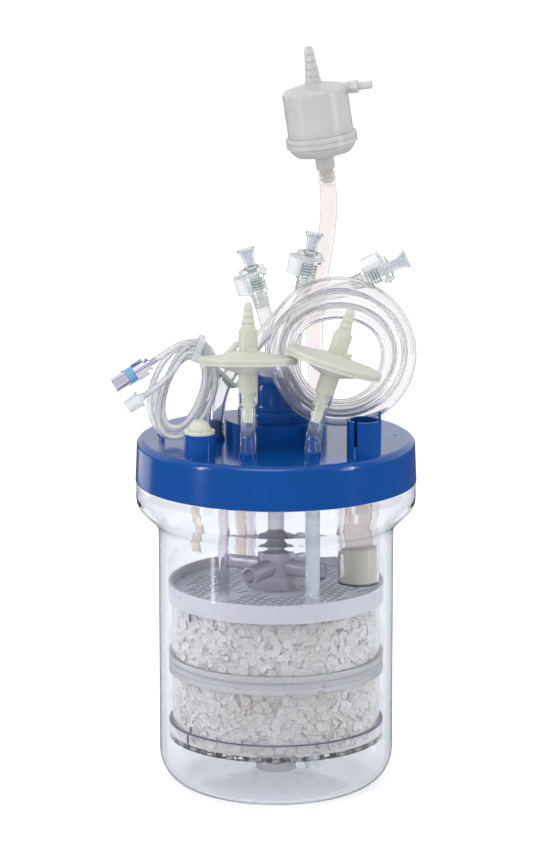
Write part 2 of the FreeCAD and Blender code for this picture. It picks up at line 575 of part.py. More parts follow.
# --------------------------------------------------------------------------- drive and shaft
def make_drive():
    flange_top = hub_z + s.flange_height
    tower_top = hub_z + s.tower_height
    fillet = s.tower_fillet
    inner = s.tower_radius - s.tower_wall
    roof = tower_top - s.tower_roof
    soft = s.tower_round - s.tower_roof
    body = new_body("drive_housing")
    turned(body, [
        (inner, hub_z), (s.flange_radius, hub_z), (s.flange_radius, flange_top - s.flange_round),
        (s.flange_radius - s.flange_round, flange_top, s.flange_round, 1),
        (s.tower_radius + fillet, flange_top), (s.tower_radius, flange_top + fillet, fillet, -1),
        (s.tower_radius, tower_top - s.tower_round),
        (s.tower_radius - s.tower_round, tower_top, s.tower_round, 1), (0, tower_top),
        (0, roof), (inner - soft, roof), (inner, roof - soft, soft, -1)])

    bearing = new_body("shaft_bearing")
    turned(bearing, [
        (shaft_bore, hub_z - s.bearing_length), (s.bearing_radius, hub_z - s.bearing_length),
        (s.bearing_radius, hub_z), (s.bearing_flange, hub_z),
        (s.bearing_flange, hub_z + s.bearing_rim), (shaft_bore, hub_z + s.bearing_rim)])

    carrier = new_body("magnet_carrier", (0, 0, carrier_z))
    turned(carrier, [
        (0, s.carrier_cup), (s.shaft_radius, s.carrier_cup), (s.shaft_radius, 0),
        (s.carrier_radius, 0), (s.carrier_radius, s.carrier_height), (0, s.carrier_height)])
    pocket = new_sketch(carrier, "XY_Plane", depth=s.carrier_height)
    draw_circle(pocket, s.magnet_ring, 0, s.magnet_radius)
    holes = padded(carrier, pocket, s.magnet_height, cut=True, back=True)
    pattern = carrier.newObject("PartDesign::PolarPattern", "around")
    pattern.Originals = [holes]
    pattern.Axis = (pocket, ["N_Axis"])
    pattern.Angle = 360
    bind(pattern, "Occurrences", s.magnet_count)
    carrier.Tip = pattern

    turn = 360 / s.magnet_count.value
    slugs = []
    for index in range(round(s.magnet_count.value)):
        slug = Part.makeCylinder(s.magnet_radius.value, s.magnet_height.value)
        slug.translate(Vector(s.magnet_ring.value, 0, 0))
        slug.rotate(Vector(0, 0, 0), Vector(0, 0, 1), index * turn)
        slugs.append(slug)
    base = carrier_z + s.carrier_height - s.magnet_height
    solid_feature("drive_magnets", Part.makeCompound(slugs),
                  Placement(Vector(0, 0, base.value), Rotation()))

    shaft = new_body("impeller_shaft")
    bell_top = s.bell_z + s.bell_height
    turned(shaft, [
        (0, s.bell_z), (s.bell_radius, s.bell_z),
        (s.shaft_radius, bell_top, s.bell_height * 2, -1),
        (s.shaft_radius, carrier_z + s.carrier_cup), (0, carrier_z + s.carrier_cup)])


def impeller_half(label, hub_corners, hollow_corners, side):
    """Half of the impeller on one side of the plane through its arms' axes."""
    body = new_body(label, (0, 0, s.arm_z), Rotation(Vector(0, 0, 1), s.arm_turn.value))
    turned(body, hub_corners)
    arm_sketch = new_sketch(body, "YZ_Plane")
    draw_half_disc(arm_sketch, s.arm_radius, side)
    arm = padded(body, arm_sketch, s.arm_reach)
    around(body, [arm], arm_sketch, s.arm_count)
    turned(body, hollow_corners, cut=True)
    bore_sketch = new_sketch(body, "YZ_Plane")
    draw_half_disc(bore_sketch, s.arm_bore, side)
    bore = padded(body, bore_sketch, s.arm_reach + s.rim_gap, cut=True)
    around(body, [bore], bore_sketch, s.arm_count)


def make_impeller():
    top = s.bell_z - s.arm_z
    hollow = s.impeller_hub - s.impeller_wall
    bottom = s.skirt_z - s.arm_z
    knee = s.skirt_round_z - s.arm_z
    impeller_half("impeller_upper",
                  [(0, 0), (s.impeller_hub, 0), (s.impeller_hub, top), (0, top)],
                  [(0, 0), (hollow, 0), (hollow, top - s.impeller_wall),
                   (0, top - s.impeller_wall)], 1)
    impeller_half("impeller_lower",
                  [(0, bottom), (s.skirt_radius, bottom), (s.impeller_hub, knee),
                   (s.impeller_hub, 0), (0, 0)],
                  [(0, bottom), (s.skirt_radius - s.impeller_wall, bottom), (hollow, knee),
                   (hollow, 0), (0, 0)], -1)


# ------------------------------------------------------------------------- packed-bed basket
def slot_grid(limit, keep_clear):
    """Rows of slanted slots inside a circle, left out where a blank disc or hole lies."""
    step_along = (s.slot_length + s.slot_bridge).value
    step_across = s.slot_pitch.value
    half_length, half_width = s.slot_length.value / 2, s.slot_width.value / 2
    turn = Rotation(Vector(0, 0, 1), s.slot_turn.value)
    rows = int(limit // step_across) + 1
    columns = int(limit // step_along) + 2
    slots = []
    for row in range(-rows, rows + 1):
        stagger = step_along / 2 * (row % 2)
        for column in range(-columns, columns + 1):
            centre = turn.multVec(Vector(column * step_along + stagger, row * step_across, 0))
            if centre.Length + half_length > limit:
                continue
            if any((centre - spot).Length < reach + half_length for spot, reach in keep_clear):
                continue
            corners = [centre + turn.multVec(Vector(x * half_length, y * half_width, 0))
                       for x, y in ((-1, -1), (1, -1), (1, 1), (-1, 1))]
            slots.append(Part.makePolygon(corners + corners[:1]))
    return slots


def disc_plate(radius, bore, thick, holes):
    """A flat disc with a centre bore and further hole outlines."""
    def ring(x, y, r):
        return Part.Wire([Part.makeCircle(r, Vector(x, y, 0))])
    outlines = [ring(0, 0, radius), ring(0, 0, bore)]
    outlines.append(ring(SPARGE[0].value, SPARGE[1].value,
                         (s.sparge_radius + s.tube_hole_gap).value))
    return Part.Face(outlines + holes, "Part::FaceMakerBullseye").extrude(Vector(0, 0, thick))


def ring_solid(low, high, inner, outer):
    """A plain ring between two heights, from sizes."""
    outside = Part.makeCylinder(outer.value, (high - low).value, Vector(0, 0, low.value))
    return outside.cut(Part.makeCylinder(inner.value, (high - low).value,
                                         Vector(0, 0, low.value)))


def drain_holes(radius, count, ring_radius):
    turn = 2 * math.pi / count
    return [Part.Wire([Part.makeCircle(radius, Vector(ring_radius * math.cos(turn * i),
                                                      ring_radius * math.sin(turn * i), 0))])
            for i in range(count)]


def make_basket():
    core_hole = (s.core_radius + s.basket_gap).value
    ring_top = s.lid_ring_z + s.lid_ring_height
    skirt = basket_wall_radius + s.basket_gap
    clear = [(Vector(0, 0, 0), s.skirt_radius.value),
             (Vector(s.level_x.value, s.level_y.value, 0), s.foot_disc_radius.value),
             (Vector(SPARGE[0].value, SPARGE[1].value, 0),
              (s.sparge_radius + s.core_wall).value),
             (Vector(WELL[0].value, WELL[1].value, 0), (s.well_radius / 2).value)]
    slots = slot_grid((cup_inner - s.screen_margin).value, clear)
    screen = disc_plate(skirt.value, core_hole, s.screen.value, slots)
    screen.translate(Vector(0, 0, s.screen_z.value))
    rim = ring_solid(s.lid_ring_z, ring_top, skirt, basket_radius)
    solid_feature("basket_screen", screen.fuse(rim).removeSplitter())

    wall = new_body("basket_upper_wall")
    wall_low = s.mid_ring_z + s.mid_ring_height
    turned(wall, [(cup_inner, wall_low), (basket_wall_radius, wall_low),
                  (basket_wall_radius, s.screen_z), (cup_inner, s.screen_z)])

    drains = []
    for ring_radius in (s.core_radius * 1.8, s.core_radius * 3, s.core_radius * 4.2):
        drains += drain_holes(s.drain_radius.value, round(s.drain_count.value),
                              ring_radius.value)
    sparge = Vector(SPARGE[0].value, SPARGE[1].value, 0)
    reach = (s.sparge_radius + s.drain_radius + s.basket_wall).value
    drains = [d for d in drains if (d.CenterOfMass - sparge).Length > reach]
    partition = disc_plate(basket_wall_radius.value, core_hole, s.partition.value, drains)
    partition.translate(Vector(0, 0, partition_z.value))
    band = ring_solid(s.mid_ring_z, s.mid_ring_z + s.mid_ring_height, cup_inner,
                      basket_radius)
    third = s.mid_ring_height / 3
    for index in (1, 2):
        groove_z = s.mid_ring_z + third * index
        band = band.cut(ring_solid(groove_z - s.ring_groove / 2, groove_z + s.ring_groove / 2,
                                   basket_radius - s.ring_groove, basket_radius + s.ring_groove))
    solid_feature("basket_mid_ring", band.fuse(partition).removeSplitter())

    floor = disc_plate(basket_wall_radius.value, core_hole, s.cup_floor.value, drains)
    floor.translate(Vector(0, 0, s.cup_z.value))
    side = ring_solid(s.cup_z, s.mid_ring_z, cup_inner, basket_wall_radius)
    skirt_band = ring_solid(s.cup_z, s.cup_z + s.cup_band, basket_wall_radius,
                            basket_radius)
    solid_feature("basket_lower_cup", side.fuse([floor, skirt_band]).removeSplitter())

    core = new_body("basket_core")
    inner = s.core_radius - s.core_wall
    flange_z = s.cup_z - s.core_flange_height
    turned(core, [
        (inner, floor_z(inner) + s.floor_gap), (s.core_radius, floor_z(s.core_radius)
                                                + s.floor_gap),
        (s.core_radius, flange_z), (s.core_flange, flange_z), (s.core_flange, s.cup_z),
        (s.core_radius, s.cup_z), (s.core_radius, screen_top), (inner, screen_top)])
    window_sketch = new_sketch(core, "YZ_Plane", (0, s.window_z))
    half = s.window_width / 2
    draw_outline(window_sketch, [(-half, 0), (half, 0), (half, s.window_height),
                                 (-half, s.window_height)])
    window = padded(core, window_sketch, s.core_radius + s.rim_gap, cut=True)
    around(core, [window], window_sketch, s.window_count)


def make_bed(label, low, high):
    """A tier of loose carrier disks as one plain solid, with the sparge tube's passage."""
    body = new_body(label)
    turned(body, [(bed_bore, low), (bed_radius, low), (bed_radius, high), (bed_bore, high)])
    passage = new_sketch(body, "XY_Plane", depth=low)
    draw_circle(passage, *SPARGE, s.sparge_radius + s.tube_hole_gap)
    padded(body, passage, high - low, cut=True)


# ------------------------------------------------------------------------------ inside tubes
def make_dip_tubes():
    for label, (x, y, radius, wall, low) in DIP_TUBES.items():
        body = new_body(label, (x, y, low))
        length = lid_under - low
        turned(body, [(radius - wall, 0), (radius, 0), (radius, length),
                      (radius - wall, length)])


def make_sensor_well():
    well = new_body("sensor_well", (*WELL, s.well_z))
    length = lid_under - s.well_z
    inner = s.well_radius - s.well_wall
    turned(well, [(0, 0), (s.well_radius, 0), (s.well_radius, length), (inner, length),
                  (inner, s.well_wall), (0, s.well_wall)])
    cartridge = new_body("sensor_cartridge", (*WELL, s.well_z + s.well_wall))
    radius = inner - s.cartridge_gap
    turned(cartridge, [
        (0, 0), (radius, 0), (radius, s.cartridge_height),
        (s.cartridge_stem, s.cartridge_height), (s.cartridge_stem, length - s.well_wall),
        (0, length - s.well_wall)])


# ------------------------------------------------------------------------------- vent filters
def vent_route(x, y, bend_z, stem_z, lean_side, lean_back):
    """A vent hose's corners: straight up from the port, then along the filter's axis."""
    side = math.tan(math.radians(lean_side.value))
    back = math.tan(math.radians(lean_back.value))
    bend, end = bend_z.value, stem_z.value
    start = Vector(x.value, y.value, (s.lid_top_z + s.port_height).value)
    corner = Vector(x.value, y.value, bend)
    return [start, corner, corner + Vector(side, back, 1) * (end - bend)]


def make_vent_filter(name, route, tab_turn):
    outside = swept(route, s.vent_hose_radius)[0]
    frame = end_frame(route, tab_turn.value)
    flare = Part.makeCone(s.vent_hose_radius.value, s.vent_hose_flare.value,
                          s.vent_flare_length.value,
                          Vector(0, 0, -s.vent_flare_length.value))
    flare.Placement = frame
    bore = swept(route, s.hose_bore)[0]
    solid_feature(f"{name}_vent_hose", outside.fuse(flare).cut(bore))

    def vent_body(label):
        body = new_body(label)
        body.Placement = frame
        return body

    middle = s.disc_stem
    half_rim = s.disc_rim / 2
    low, high = middle - half_rim, middle + half_rim
    stem = s.disc_stem_radius
    base = vent_body(f"{name}_vent_base")
    turned(base, [
        (s.disc_bore, -s.disc_tail), *reversed(hose_barb(0, -s.disc_tail)),
        (stem, 0), (stem, low - s.disc_under), (s.disc_flat, low),
        (s.disc_radius, low), (s.disc_radius, middle - s.membrane / 2),
        (s.disc_flat, middle - s.membrane / 2),
        (s.disc_flat - s.disc_wall, middle - s.membrane / 2),
        (s.disc_bore, low - s.disc_under + s.disc_wall)])
    membrane = vent_body(f"{name}_vent_membrane")
    edge = s.disc_radius - s.membrane_margin
    turned(membrane, [(0, middle - s.membrane / 2), (edge, middle - s.membrane / 2),
                      (edge, middle + s.membrane / 2), (0, middle + s.membrane / 2)])
    cap = vent_body(f"{name}_vent_cap")
    neck = high + s.disc_neck
    turned(cap, [
        (s.disc_bore, high + s.disc_cone - s.disc_wall),
        (s.disc_flat - s.disc_wall, middle + s.membrane / 2),
        (edge, middle + s.membrane / 2), (edge, middle - s.membrane / 2),
        (s.disc_radius, middle - s.membrane / 2), (s.disc_radius, high), (s.disc_flat, high),
        (s.disc_hub, high + s.disc_cone), (s.disc_hub, neck),
        *barb(neck, s.disc_barb, s.disc_hub * 0.84, s.disc_barb_tip, 4),
        (s.disc_bore, neck + s.disc_barb)])
    tab = new_sketch(cap, "XY_Plane", depth=high + s.disc_wall)
    half_tab = s.disc_tab
    draw_outline(tab, [(-half_tab, -s.disc_hub - s.disc_tab), (half_tab, -s.disc_hub
                                                               - s.disc_tab),
                       (half_tab, -s.disc_hub + s.barb_undercut),
                       (-half_tab, -s.disc_hub + s.barb_undercut)])
    padded(cap, tab, s.disc_tab_height - s.disc_wall)


# ------------------------------------------------------------------------------ capsule filter
def make_capsule():
    frame = end_frame(CAPSULE_ROUTE, heading(CAPSULE_ROUTE, (1, -0.15, 0)))

    def capsule_body(label):
        body = new_body(label)
        body.Placement = frame
        return body

    belly, band_radius = s.capsule_belly, s.capsule_band_radius
    split = belly + s.capsule_band / 2
    band_top = belly + s.capsule_band
    radius, wall = s.capsule_radius, s.capsule_wall
    inner = radius - wall
    seat = s.capsule_neck + wall * 2
    base = capsule_body("capsule_base")
    turned(base, [
        (s.tail_bore, -s.capsule_tail), *reversed(hose_barb(0, -s.capsule_tail)),
        (s.capsule_neck_radius, 0), (s.capsule_neck_radius, s.capsule_neck),
        (radius * 0.8, s.capsule_neck + wall), (radius, belly - wall, radius, 1),
        (radius, belly), (band_radius, belly), (band_radius, split), (inner, split),
        (inner, seat + wall), (s.core_filter + s.skirt_gap, seat), (s.tail_bore, seat)])
    top_round = s.capsule_height - s.capsule_round
    crown_z = s.capsule_height + s.capsule_crown
    inner_round = s.capsule_round
    shell = capsule_body("capsule_shell")
    turned(shell, [
        (inner, split), (band_radius, split), (band_radius, band_top), (radius, band_top),
        (radius, top_round), (radius - s.capsule_round, s.capsule_height,
                              s.capsule_round, 1),
        *barb(crown_z, s.capsule_top_barb, s.capsule_top_root, s.capsule_top_tip, 5),
        (s.tail_bore, crown_z + s.capsule_top_barb), (s.tail_bore, crown_z - wall),
        (inner - inner_round, s.capsule_height - wall),
        (inner, top_round - wall, inner_round, -1)])
    vent_z = s.capsule_height - s.vent_drop
    boss_sketch = new_sketch(shell, "YZ_Plane", (0, vent_z), inner + s.skirt_gap)
    draw_circle(boss_sketch, 0, 0, s.vent_boss_radius)
    padded(shell, boss_sketch, wall + s.vent_boss)
    seat_sketch = new_sketch(shell, "YZ_Plane", (0, vent_z), inner - wall)
    draw_circle(seat_sketch, 0, 0, s.vent_spigot + s.vent_fit)
    padded(shell, seat_sketch, wall * 2 + s.vent_boss + s.skirt_gap * 2, cut=True)

    core_top = s.capsule_height - wall * 3
    pleats = round(s.pleat_count.value)
    outer, valley = s.core_filter.value, (s.core_filter - s.pleat_depth).value
    star = []
    for index in range(2 * pleats):
        reach = valley if index % 2 else outer
        angle = math.pi * index / pleats
        star.append(Vector(reach * math.cos(angle), reach * math.sin(angle), seat.value))
    height = (core_top - seat).value
    pleated = Part.Face(Part.makePolygon(star + star[:1])).extrude(Vector(0, 0, height))
    hole = Part.makeCylinder(s.core_filter_bore.value, height, Vector(0, 0, seat.value))
    solid_feature("capsule_core", pleated.cut(hole), frame)

    valve = capsule_body("capsule_vent")
    face = inner + s.skirt_gap + wall + s.vent_boss
    spigot = new_sketch(valve, "YZ_Plane", (0, vent_z), inner)
    draw_circle(spigot, 0, 0, s.vent_spigot)
    padded(valve, spigot, face - inner + s.skirt_gap)
    grip = new_sketch(valve, "YZ_Plane", (0, vent_z), face)
    flat = s.vent_hex * 0.5
    tall = s.vent_hex * math.sqrt(0.75)
    draw_outline(grip, [(s.vent_hex, 0), (flat, tall), (-flat, tall), (-s.vent_hex, 0),
                        (-flat, -tall), (flat, -tall)])
    padded(valve, grip, s.vent_hex_length)
    nozzle = new_sketch(valve, "YZ_Plane", (0, vent_z), face + s.vent_hex_length)
    draw_circle(nozzle, 0, 0, s.vent_nozzle)
    draw_circle(nozzle, 0, 0, s.vent_nozzle / 2)
    padded(valve, nozzle, s.vent_nozzle_length)


# --------------------------------------------------------------------------- quick connectors
def make_connector(name, route, latch_side):
    """A hose connector on a route's end: body, sliding thumb latch and sealing plug."""
    frame = end_frame(route, heading(route, latch_side))

    def connector_body(label):
        body = new_body(label)
        body.Placement = frame
        return body

    lower = s.socket_body_length
    gap_low = lower + s.collar_lip
    gap_high = gap_low + s.collar_gap_height
    top = gap_high + s.collar_lip
    ridge = s.barb_undercut
    body = connector_body(f"{name}_connector_body")
    turned(body, [
        (s.tail_bore, -s.connector_tail), *reversed(hose_barb(0, -s.connector_tail)),
        (s.socket_body, 0), (s.socket_body, lower * 0.2), (s.socket_body - ridge, lower * 0.2),
        (s.socket_body - ridge, lower * 0.6), (s.socket_body, lower * 0.6),
        (s.socket_body, lower), (s.collar_rim, lower), (s.collar_rim, gap_low),
        (s.collar_core, gap_low), (s.collar_core, gap_high), (s.collar_rim, gap_high),
        (s.collar_rim, top), (s.plug_bore, top), (s.plug_bore, top - s.plug_depth - ridge),
        (s.tail_bore, top - s.plug_depth - ridge)])

    slot = s.collar_core + s.latch_play
    shift = s.latch_travel + s.latch_play
    arm_end = -(s.collar_core + s.latch_play)
    low, thick = gap_low + s.latch_play, s.collar_gap_height - s.latch_play * 2
    latch = connector_body(f"{name}_connector_latch")
    plate = new_sketch(latch, "XY_Plane", depth=low)
    draw_outline(plate, [
        (arm_end, -s.latch_arm), (s.latch_out + s.latch_tab, -s.latch_arm * 0.6),
        (s.latch_out + s.latch_tab, s.latch_arm * 0.6), (arm_end, s.latch_arm),
        (arm_end, slot), (shift, slot), (shift + slot * DIAGONAL, slot * DIAGONAL, slot, -1),
        (shift + slot * DIAGONAL, -slot * DIAGONAL, slot, -1), (shift, -slot, slot, -1),
        (arm_end, -slot)])
    padded(latch, plate, thick)
    tab = new_sketch(latch, "XY_Plane", depth=low + thick)
    half = s.latch_tab_width / 2
    draw_outline(tab, [(s.latch_out, -half), (s.latch_out + s.latch_tab, -half),
                       (s.latch_out + s.latch_tab, half), (s.latch_out, half)])
    padded(latch, tab, s.latch_tab_drop + thick, back=True)

    insert = s.plug_bore - s.plug_fit
    rim_top = top + s.plug_reach
    thin = s.plug_neck * 0.66
    plug = connector_body(f"{name}_connector_plug")
    turned(plug, [
        (0, top - s.plug_depth), (insert, top - s.plug_depth), (insert, top),
        (s.plug_flange, top), (s.plug_flange, top + s.plug_flange_height),
        (s.plug_neck, top + s.plug_flange_height), (s.plug_neck, top + s.plug_reach * 0.45),
        (s.plug_rim, rim_top - ridge, s.plug_reach, -1), (s.plug_rim, rim_top),
        (s.plug_rim - ridge * 2, rim_top), (thin, top + s.plug_reach * 0.5),
        (thin, top + s.plug_flange_height), (0, top + s.plug_flange_height)])


# --------------------------------------------------------------------------- coils and clamps
def make_coils():
    section = Part.Ellipse(Vector(s.coil_mid.value, 0, 0), s.coil_half_width.value,
                           s.coil_half_depth.value)
    face = Part.Face(Part.Wire([section.toShape()]))
    face.rotate(Vector(0, 0, 0), Vector(1, 0, 0), 90)
    ring = face.revolve(Vector(0, 0, 0), Vector(0, 0, 1), 360)
    tilt = Rotation(Vector(1, 0, 0), 90 - s.coil_lean.value)
    solid_feature("line_coil", ring, Placement(
        Vector(s.coil_x.value, s.coil_y.value, s.coil_z.value), tilt))

    def oval(long, short):
        return Part.Wire([Part.Ellipse(Vector(0, 0, 0), long, short).toShape()])
    long, short = s.small_coil_long.value, s.small_coil_short.value
    width, depth = s.small_coil_width.value, s.small_coil_depth.value
    inner = oval(long - width, short - width)
    plate = Part.Face([oval(long, short), inner], "Part::FaceMakerBullseye")
    plate = plate.extrude(Vector(0, 0, depth))
    plate.translate(Vector(0, 0, -depth / 2))
    plate = plate.makeFillet(s.small_coil_round.value,
                             [e for e in plate.Edges if e.BoundBox.ZLength < 1e-3])
    stand = Rotation(Vector(0, 1, 0), s.small_coil_lean.value) * Rotation(
        Vector(1, 0, 0), 90) * Rotation(Vector(0, 0, 1), 90)
    solid_feature("small_coil", plate, Placement(
        Vector(s.small_coil_x.value, s.small_coil_y.value, s.small_coil_z.value), stand))
    make_cable_tie(stand)


def make_cable_tie(stand):
    """A strap round the small coil's upper end, with its head on the front."""
    half_depth = (s.small_coil_depth / 2 + s.clamp_gap).value
    outer_reach = (s.small_coil_long + s.clamp_gap).value
    inner_reach = (s.small_coil_long - s.small_coil_width - s.tie_slack).value
    thick, wide = s.tie_thick.value, s.tie_width.value
    strap = Part.makeBox(outer_reach - inner_reach + 2 * thick, wide,
                         2 * (half_depth + thick),
                         Vector(inner_reach - thick, -wide / 2, -half_depth - thick))
    strap = strap.cut(Part.makeBox(outer_reach - inner_reach, wide, 2 * half_depth,
                                   Vector(inner_reach, -wide / 2, -half_depth)))
    head = Part.makeBox(s.tie_head.value, wide, thick * 2,
                        Vector(inner_reach, -wide / 2, half_depth + thick))
    solid_feature("cable_tie", strap.fuse(head).removeSplitter(), Placement(
        Vector(s.small_coil_x.value, s.small_coil_y.value, s.small_coil_z.value), stand))


def make_luer_fittings():
    frame = end_frame(VALVE_LEAD)
    tail_radius = s.thin_bore - s.barb_gap
    ring_low = s.luer_ring_start
    ring_high = s.luer_ring_start + s.luer_ring_length
    flange_high = ring_high + s.luer_flange_length
    valve = new_body("luer_valve")
    valve.Placement = frame
    turned(valve, [
        (s.thin_port_bore, -s.thin_tail), (tail_radius, -s.thin_tail), (tail_radius, 0),
        (s.luer_rear, 0), (s.luer_rear, s.luer_collar), (s.luer_neck, s.luer_collar),
        (s.luer_neck, s.luer_grip_start), (s.luer_grip, s.luer_grip_start),
        (s.luer_grip, ring_low), (s.luer_ring_seat, ring_low), (s.luer_ring_seat, ring_high),
        (s.luer_flange, ring_high), (s.luer_flange, flange_high),
        (s.luer_barrel, flange_high), (s.luer_barrel, s.luer_length),
        (s.luer_bore, s.luer_length), (s.luer_bore, ring_low), (s.thin_port_bore, ring_low)])
    ring = new_body("luer_ring")
    ring.Placement = frame
    play = s.socket_gap
    turned(ring, [(s.luer_ring_seat + play, ring_low + play),
                  (s.luer_ring_radius, ring_low + play),
                  (s.luer_ring_radius, ring_high - play),
                  (s.luer_ring_seat + play, ring_high - play)])
    cap = new_body("luer_cap")
    cap.Placement = end_frame(CAP_LEAD)
    flange_z = s.cap_stem + s.cap_flange_length
    turned(cap, [
        (0, -s.thin_tail), (tail_radius, -s.thin_tail), (tail_radius, 0),
        (s.cap_stem_radius, 0), (s.cap_stem_radius, s.cap_stem),
        (s.cap_flange, s.cap_stem), (s.cap_flange, flange_z), (s.cap_radius, flange_z),
        (s.cap_radius * 0.9, s.cap_length), (0, s.cap_length)])


def make_pinch_clamp():
    """A springy strip bent round the line hose, with a hole in each end and two jaws."""
    start, end = [Vector(*point) for point in LINE_ROUTE[1:3]]
    along = (end - start).normalize()
    frame = Placement(start + along * s.clamp_step.value, Rotation(Vector(0, 0, 1), along))
    spin = heading(LINE_ROUTE[1:3], (-1, 0, 1))
    frame.Rotation = frame.Rotation * Rotation(Vector(0, 0, 1), spin)
    length, height, width = s.clamp_length.value, s.clamp_height.value, s.clamp_width.value
    strip = s.clamp_strip.value
    outer = Part.makeBox(height, width, length, Vector(-height / 2, -width / 2, -length / 2))
    rounded = outer.makeFillet(strip * 2, [e for e in outer.Edges
                                           if e.BoundBox.XLength < 1e-3
                                           and e.BoundBox.ZLength < 1e-3])
    inner = Part.makeBox(height - 2 * strip, width, length - 2 * strip,
                         Vector(strip - height / 2, -width / 2, strip - length / 2))
    loop = rounded.cut(inner)
    jaw_radius = (s.clamp_height / 2 - s.line_radius - s.clamp_gap).value
    jaws = [Part.makeCylinder(jaw_radius, width, Vector(side * height / 2, -width / 2, 0),
                              Vector(0, 1, 0)).common(outer) for side in (-1, 1)]
    tunnel = Part.makeCylinder((s.line_radius + s.clamp_hole_gap).value, length,
                               Vector(0, 0, -length / 2))
    solid_feature("pinch_clamp", loop.cut(tunnel).fuse(jaws).removeSplitter(), frame)


make_vessel()
make_lid()
make_port_plug()
make_drive()
make_impeller()
make_basket()
make_bed("upper_bed", partition_z + s.partition, s.screen_z - s.bed_gap)
make_bed("lower_bed", s.cup_z + s.cup_floor, partition_z - s.bed_gap)
make_dip_tubes()
make_sensor_well()
make_vent_filter("left", vent_route(*LEFT_VENT, s.left_bend_z,
                                    s.left_stem_z, s.left_lean_side, s.left_lean_back),
                 s.left_tab_turn)
make_vent_filter("right", vent_route(*SPARGE, s.right_bend_z,
                                     s.right_stem_z, s.right_lean_side, s.right_lean_back),
                 s.right_tab_turn)
hose("capsule_hose", CAPSULE_ROUTE, s.tall_radius, s.hose_bore)
make_capsule()
hose("left_hose", LEFT_ROUTE, s.branch_radius, s.hose_bore)
hose("middle_hose", MIDDLE_ROUTE, s.branch_radius, s.hose_bore)
hose("line_hose", LINE_ROUTE, s.line_radius, s.hose_bore)
hose("line_end_hose", LINE_END_ROUTE, s.line_radius, s.hose_bore)
make_connector("left", LEFT_ROUTE, (-1, -0.9, 0))
make_connector("middle", MIDDLE_ROUTE, (-1, -0.8, 0))
make_connector("right", LINE_END_ROUTE, (-0.3, -0.8, 1))
make_coils()
hose("valve_lead", VALVE_LEAD, s.thin_radius, s.thin_bore)
hose("cap_lead", CAP_LEAD, s.thin_radius, s.thin_bore)
make_luer_fittings()
make_pinch_clamp()
risers = [swept(route, s.thin_radius)[0].cut(swept(route, s.thin_bore)[0])
          for route in (VALVE_RISER, CAP_RISER)]
solid_feature("sample_risers", Part.makeCompound(risers))

doc.recompute()
for item in doc.Objects:
    if "Invalid" in item.State or "Error" in item.State:
        raise RuntimeError(f"{item.Label} did not build: {item.State}")
os.makedirs("parts", exist_ok=True)
for item in sub_parts:
    if item.Shape.isNull() or not item.Shape.isValid():
        raise RuntimeError(f"{item.Label} has no valid shape")
    item.Shape.exportStep(f"parts/{item.Label}.step")
print(f"{len(sub_parts)} sub-parts written")
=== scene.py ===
"""Packed-bed bench bioreactor: looks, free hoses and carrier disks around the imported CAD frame."""
import json
import math
import random

import bmesh
import bpy
from mathutils import Matrix, Vector


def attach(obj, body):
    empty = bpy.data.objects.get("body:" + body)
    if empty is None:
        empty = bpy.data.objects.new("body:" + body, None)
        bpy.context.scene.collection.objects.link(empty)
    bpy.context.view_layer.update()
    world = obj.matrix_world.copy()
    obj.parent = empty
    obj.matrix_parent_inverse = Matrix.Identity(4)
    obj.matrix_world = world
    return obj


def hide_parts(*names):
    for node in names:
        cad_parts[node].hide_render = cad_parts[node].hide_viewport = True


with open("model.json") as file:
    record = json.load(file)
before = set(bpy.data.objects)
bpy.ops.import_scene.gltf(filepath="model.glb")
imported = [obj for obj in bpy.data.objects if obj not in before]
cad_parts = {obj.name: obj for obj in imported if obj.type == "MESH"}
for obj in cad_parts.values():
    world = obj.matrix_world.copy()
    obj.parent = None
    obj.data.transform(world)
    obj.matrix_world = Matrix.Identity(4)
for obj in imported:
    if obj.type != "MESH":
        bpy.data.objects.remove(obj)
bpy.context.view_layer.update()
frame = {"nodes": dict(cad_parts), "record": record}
nodes = frame["nodes"]
scene = bpy.context.scene
ROOT = "vessel_assembly"
MM = 0.001
PICTURE_TALL = 853  # pixels
LOOK_DOWN = 12.5  # degrees
rng = random.Random(7)


# ------------------------------------------------------------------------------------ camera
def make_camera():
    """A long lens in front, looking down a little."""
    data = bpy.data.cameras.new("camera")
    data.lens = 170.6
    data.sensor_width = 36
    data.shift_x = -6 / PICTURE_TALL
    data.clip_end = 30
    camera = bpy.data.objects.new("camera", data)
    camera.location = (0, -2.929, 0.922)
    camera.rotation_euler = (math.radians(90 - LOOK_DOWN), 0, 0)
    scene.collection.objects.link(camera)
    scene.camera = camera


make_camera()


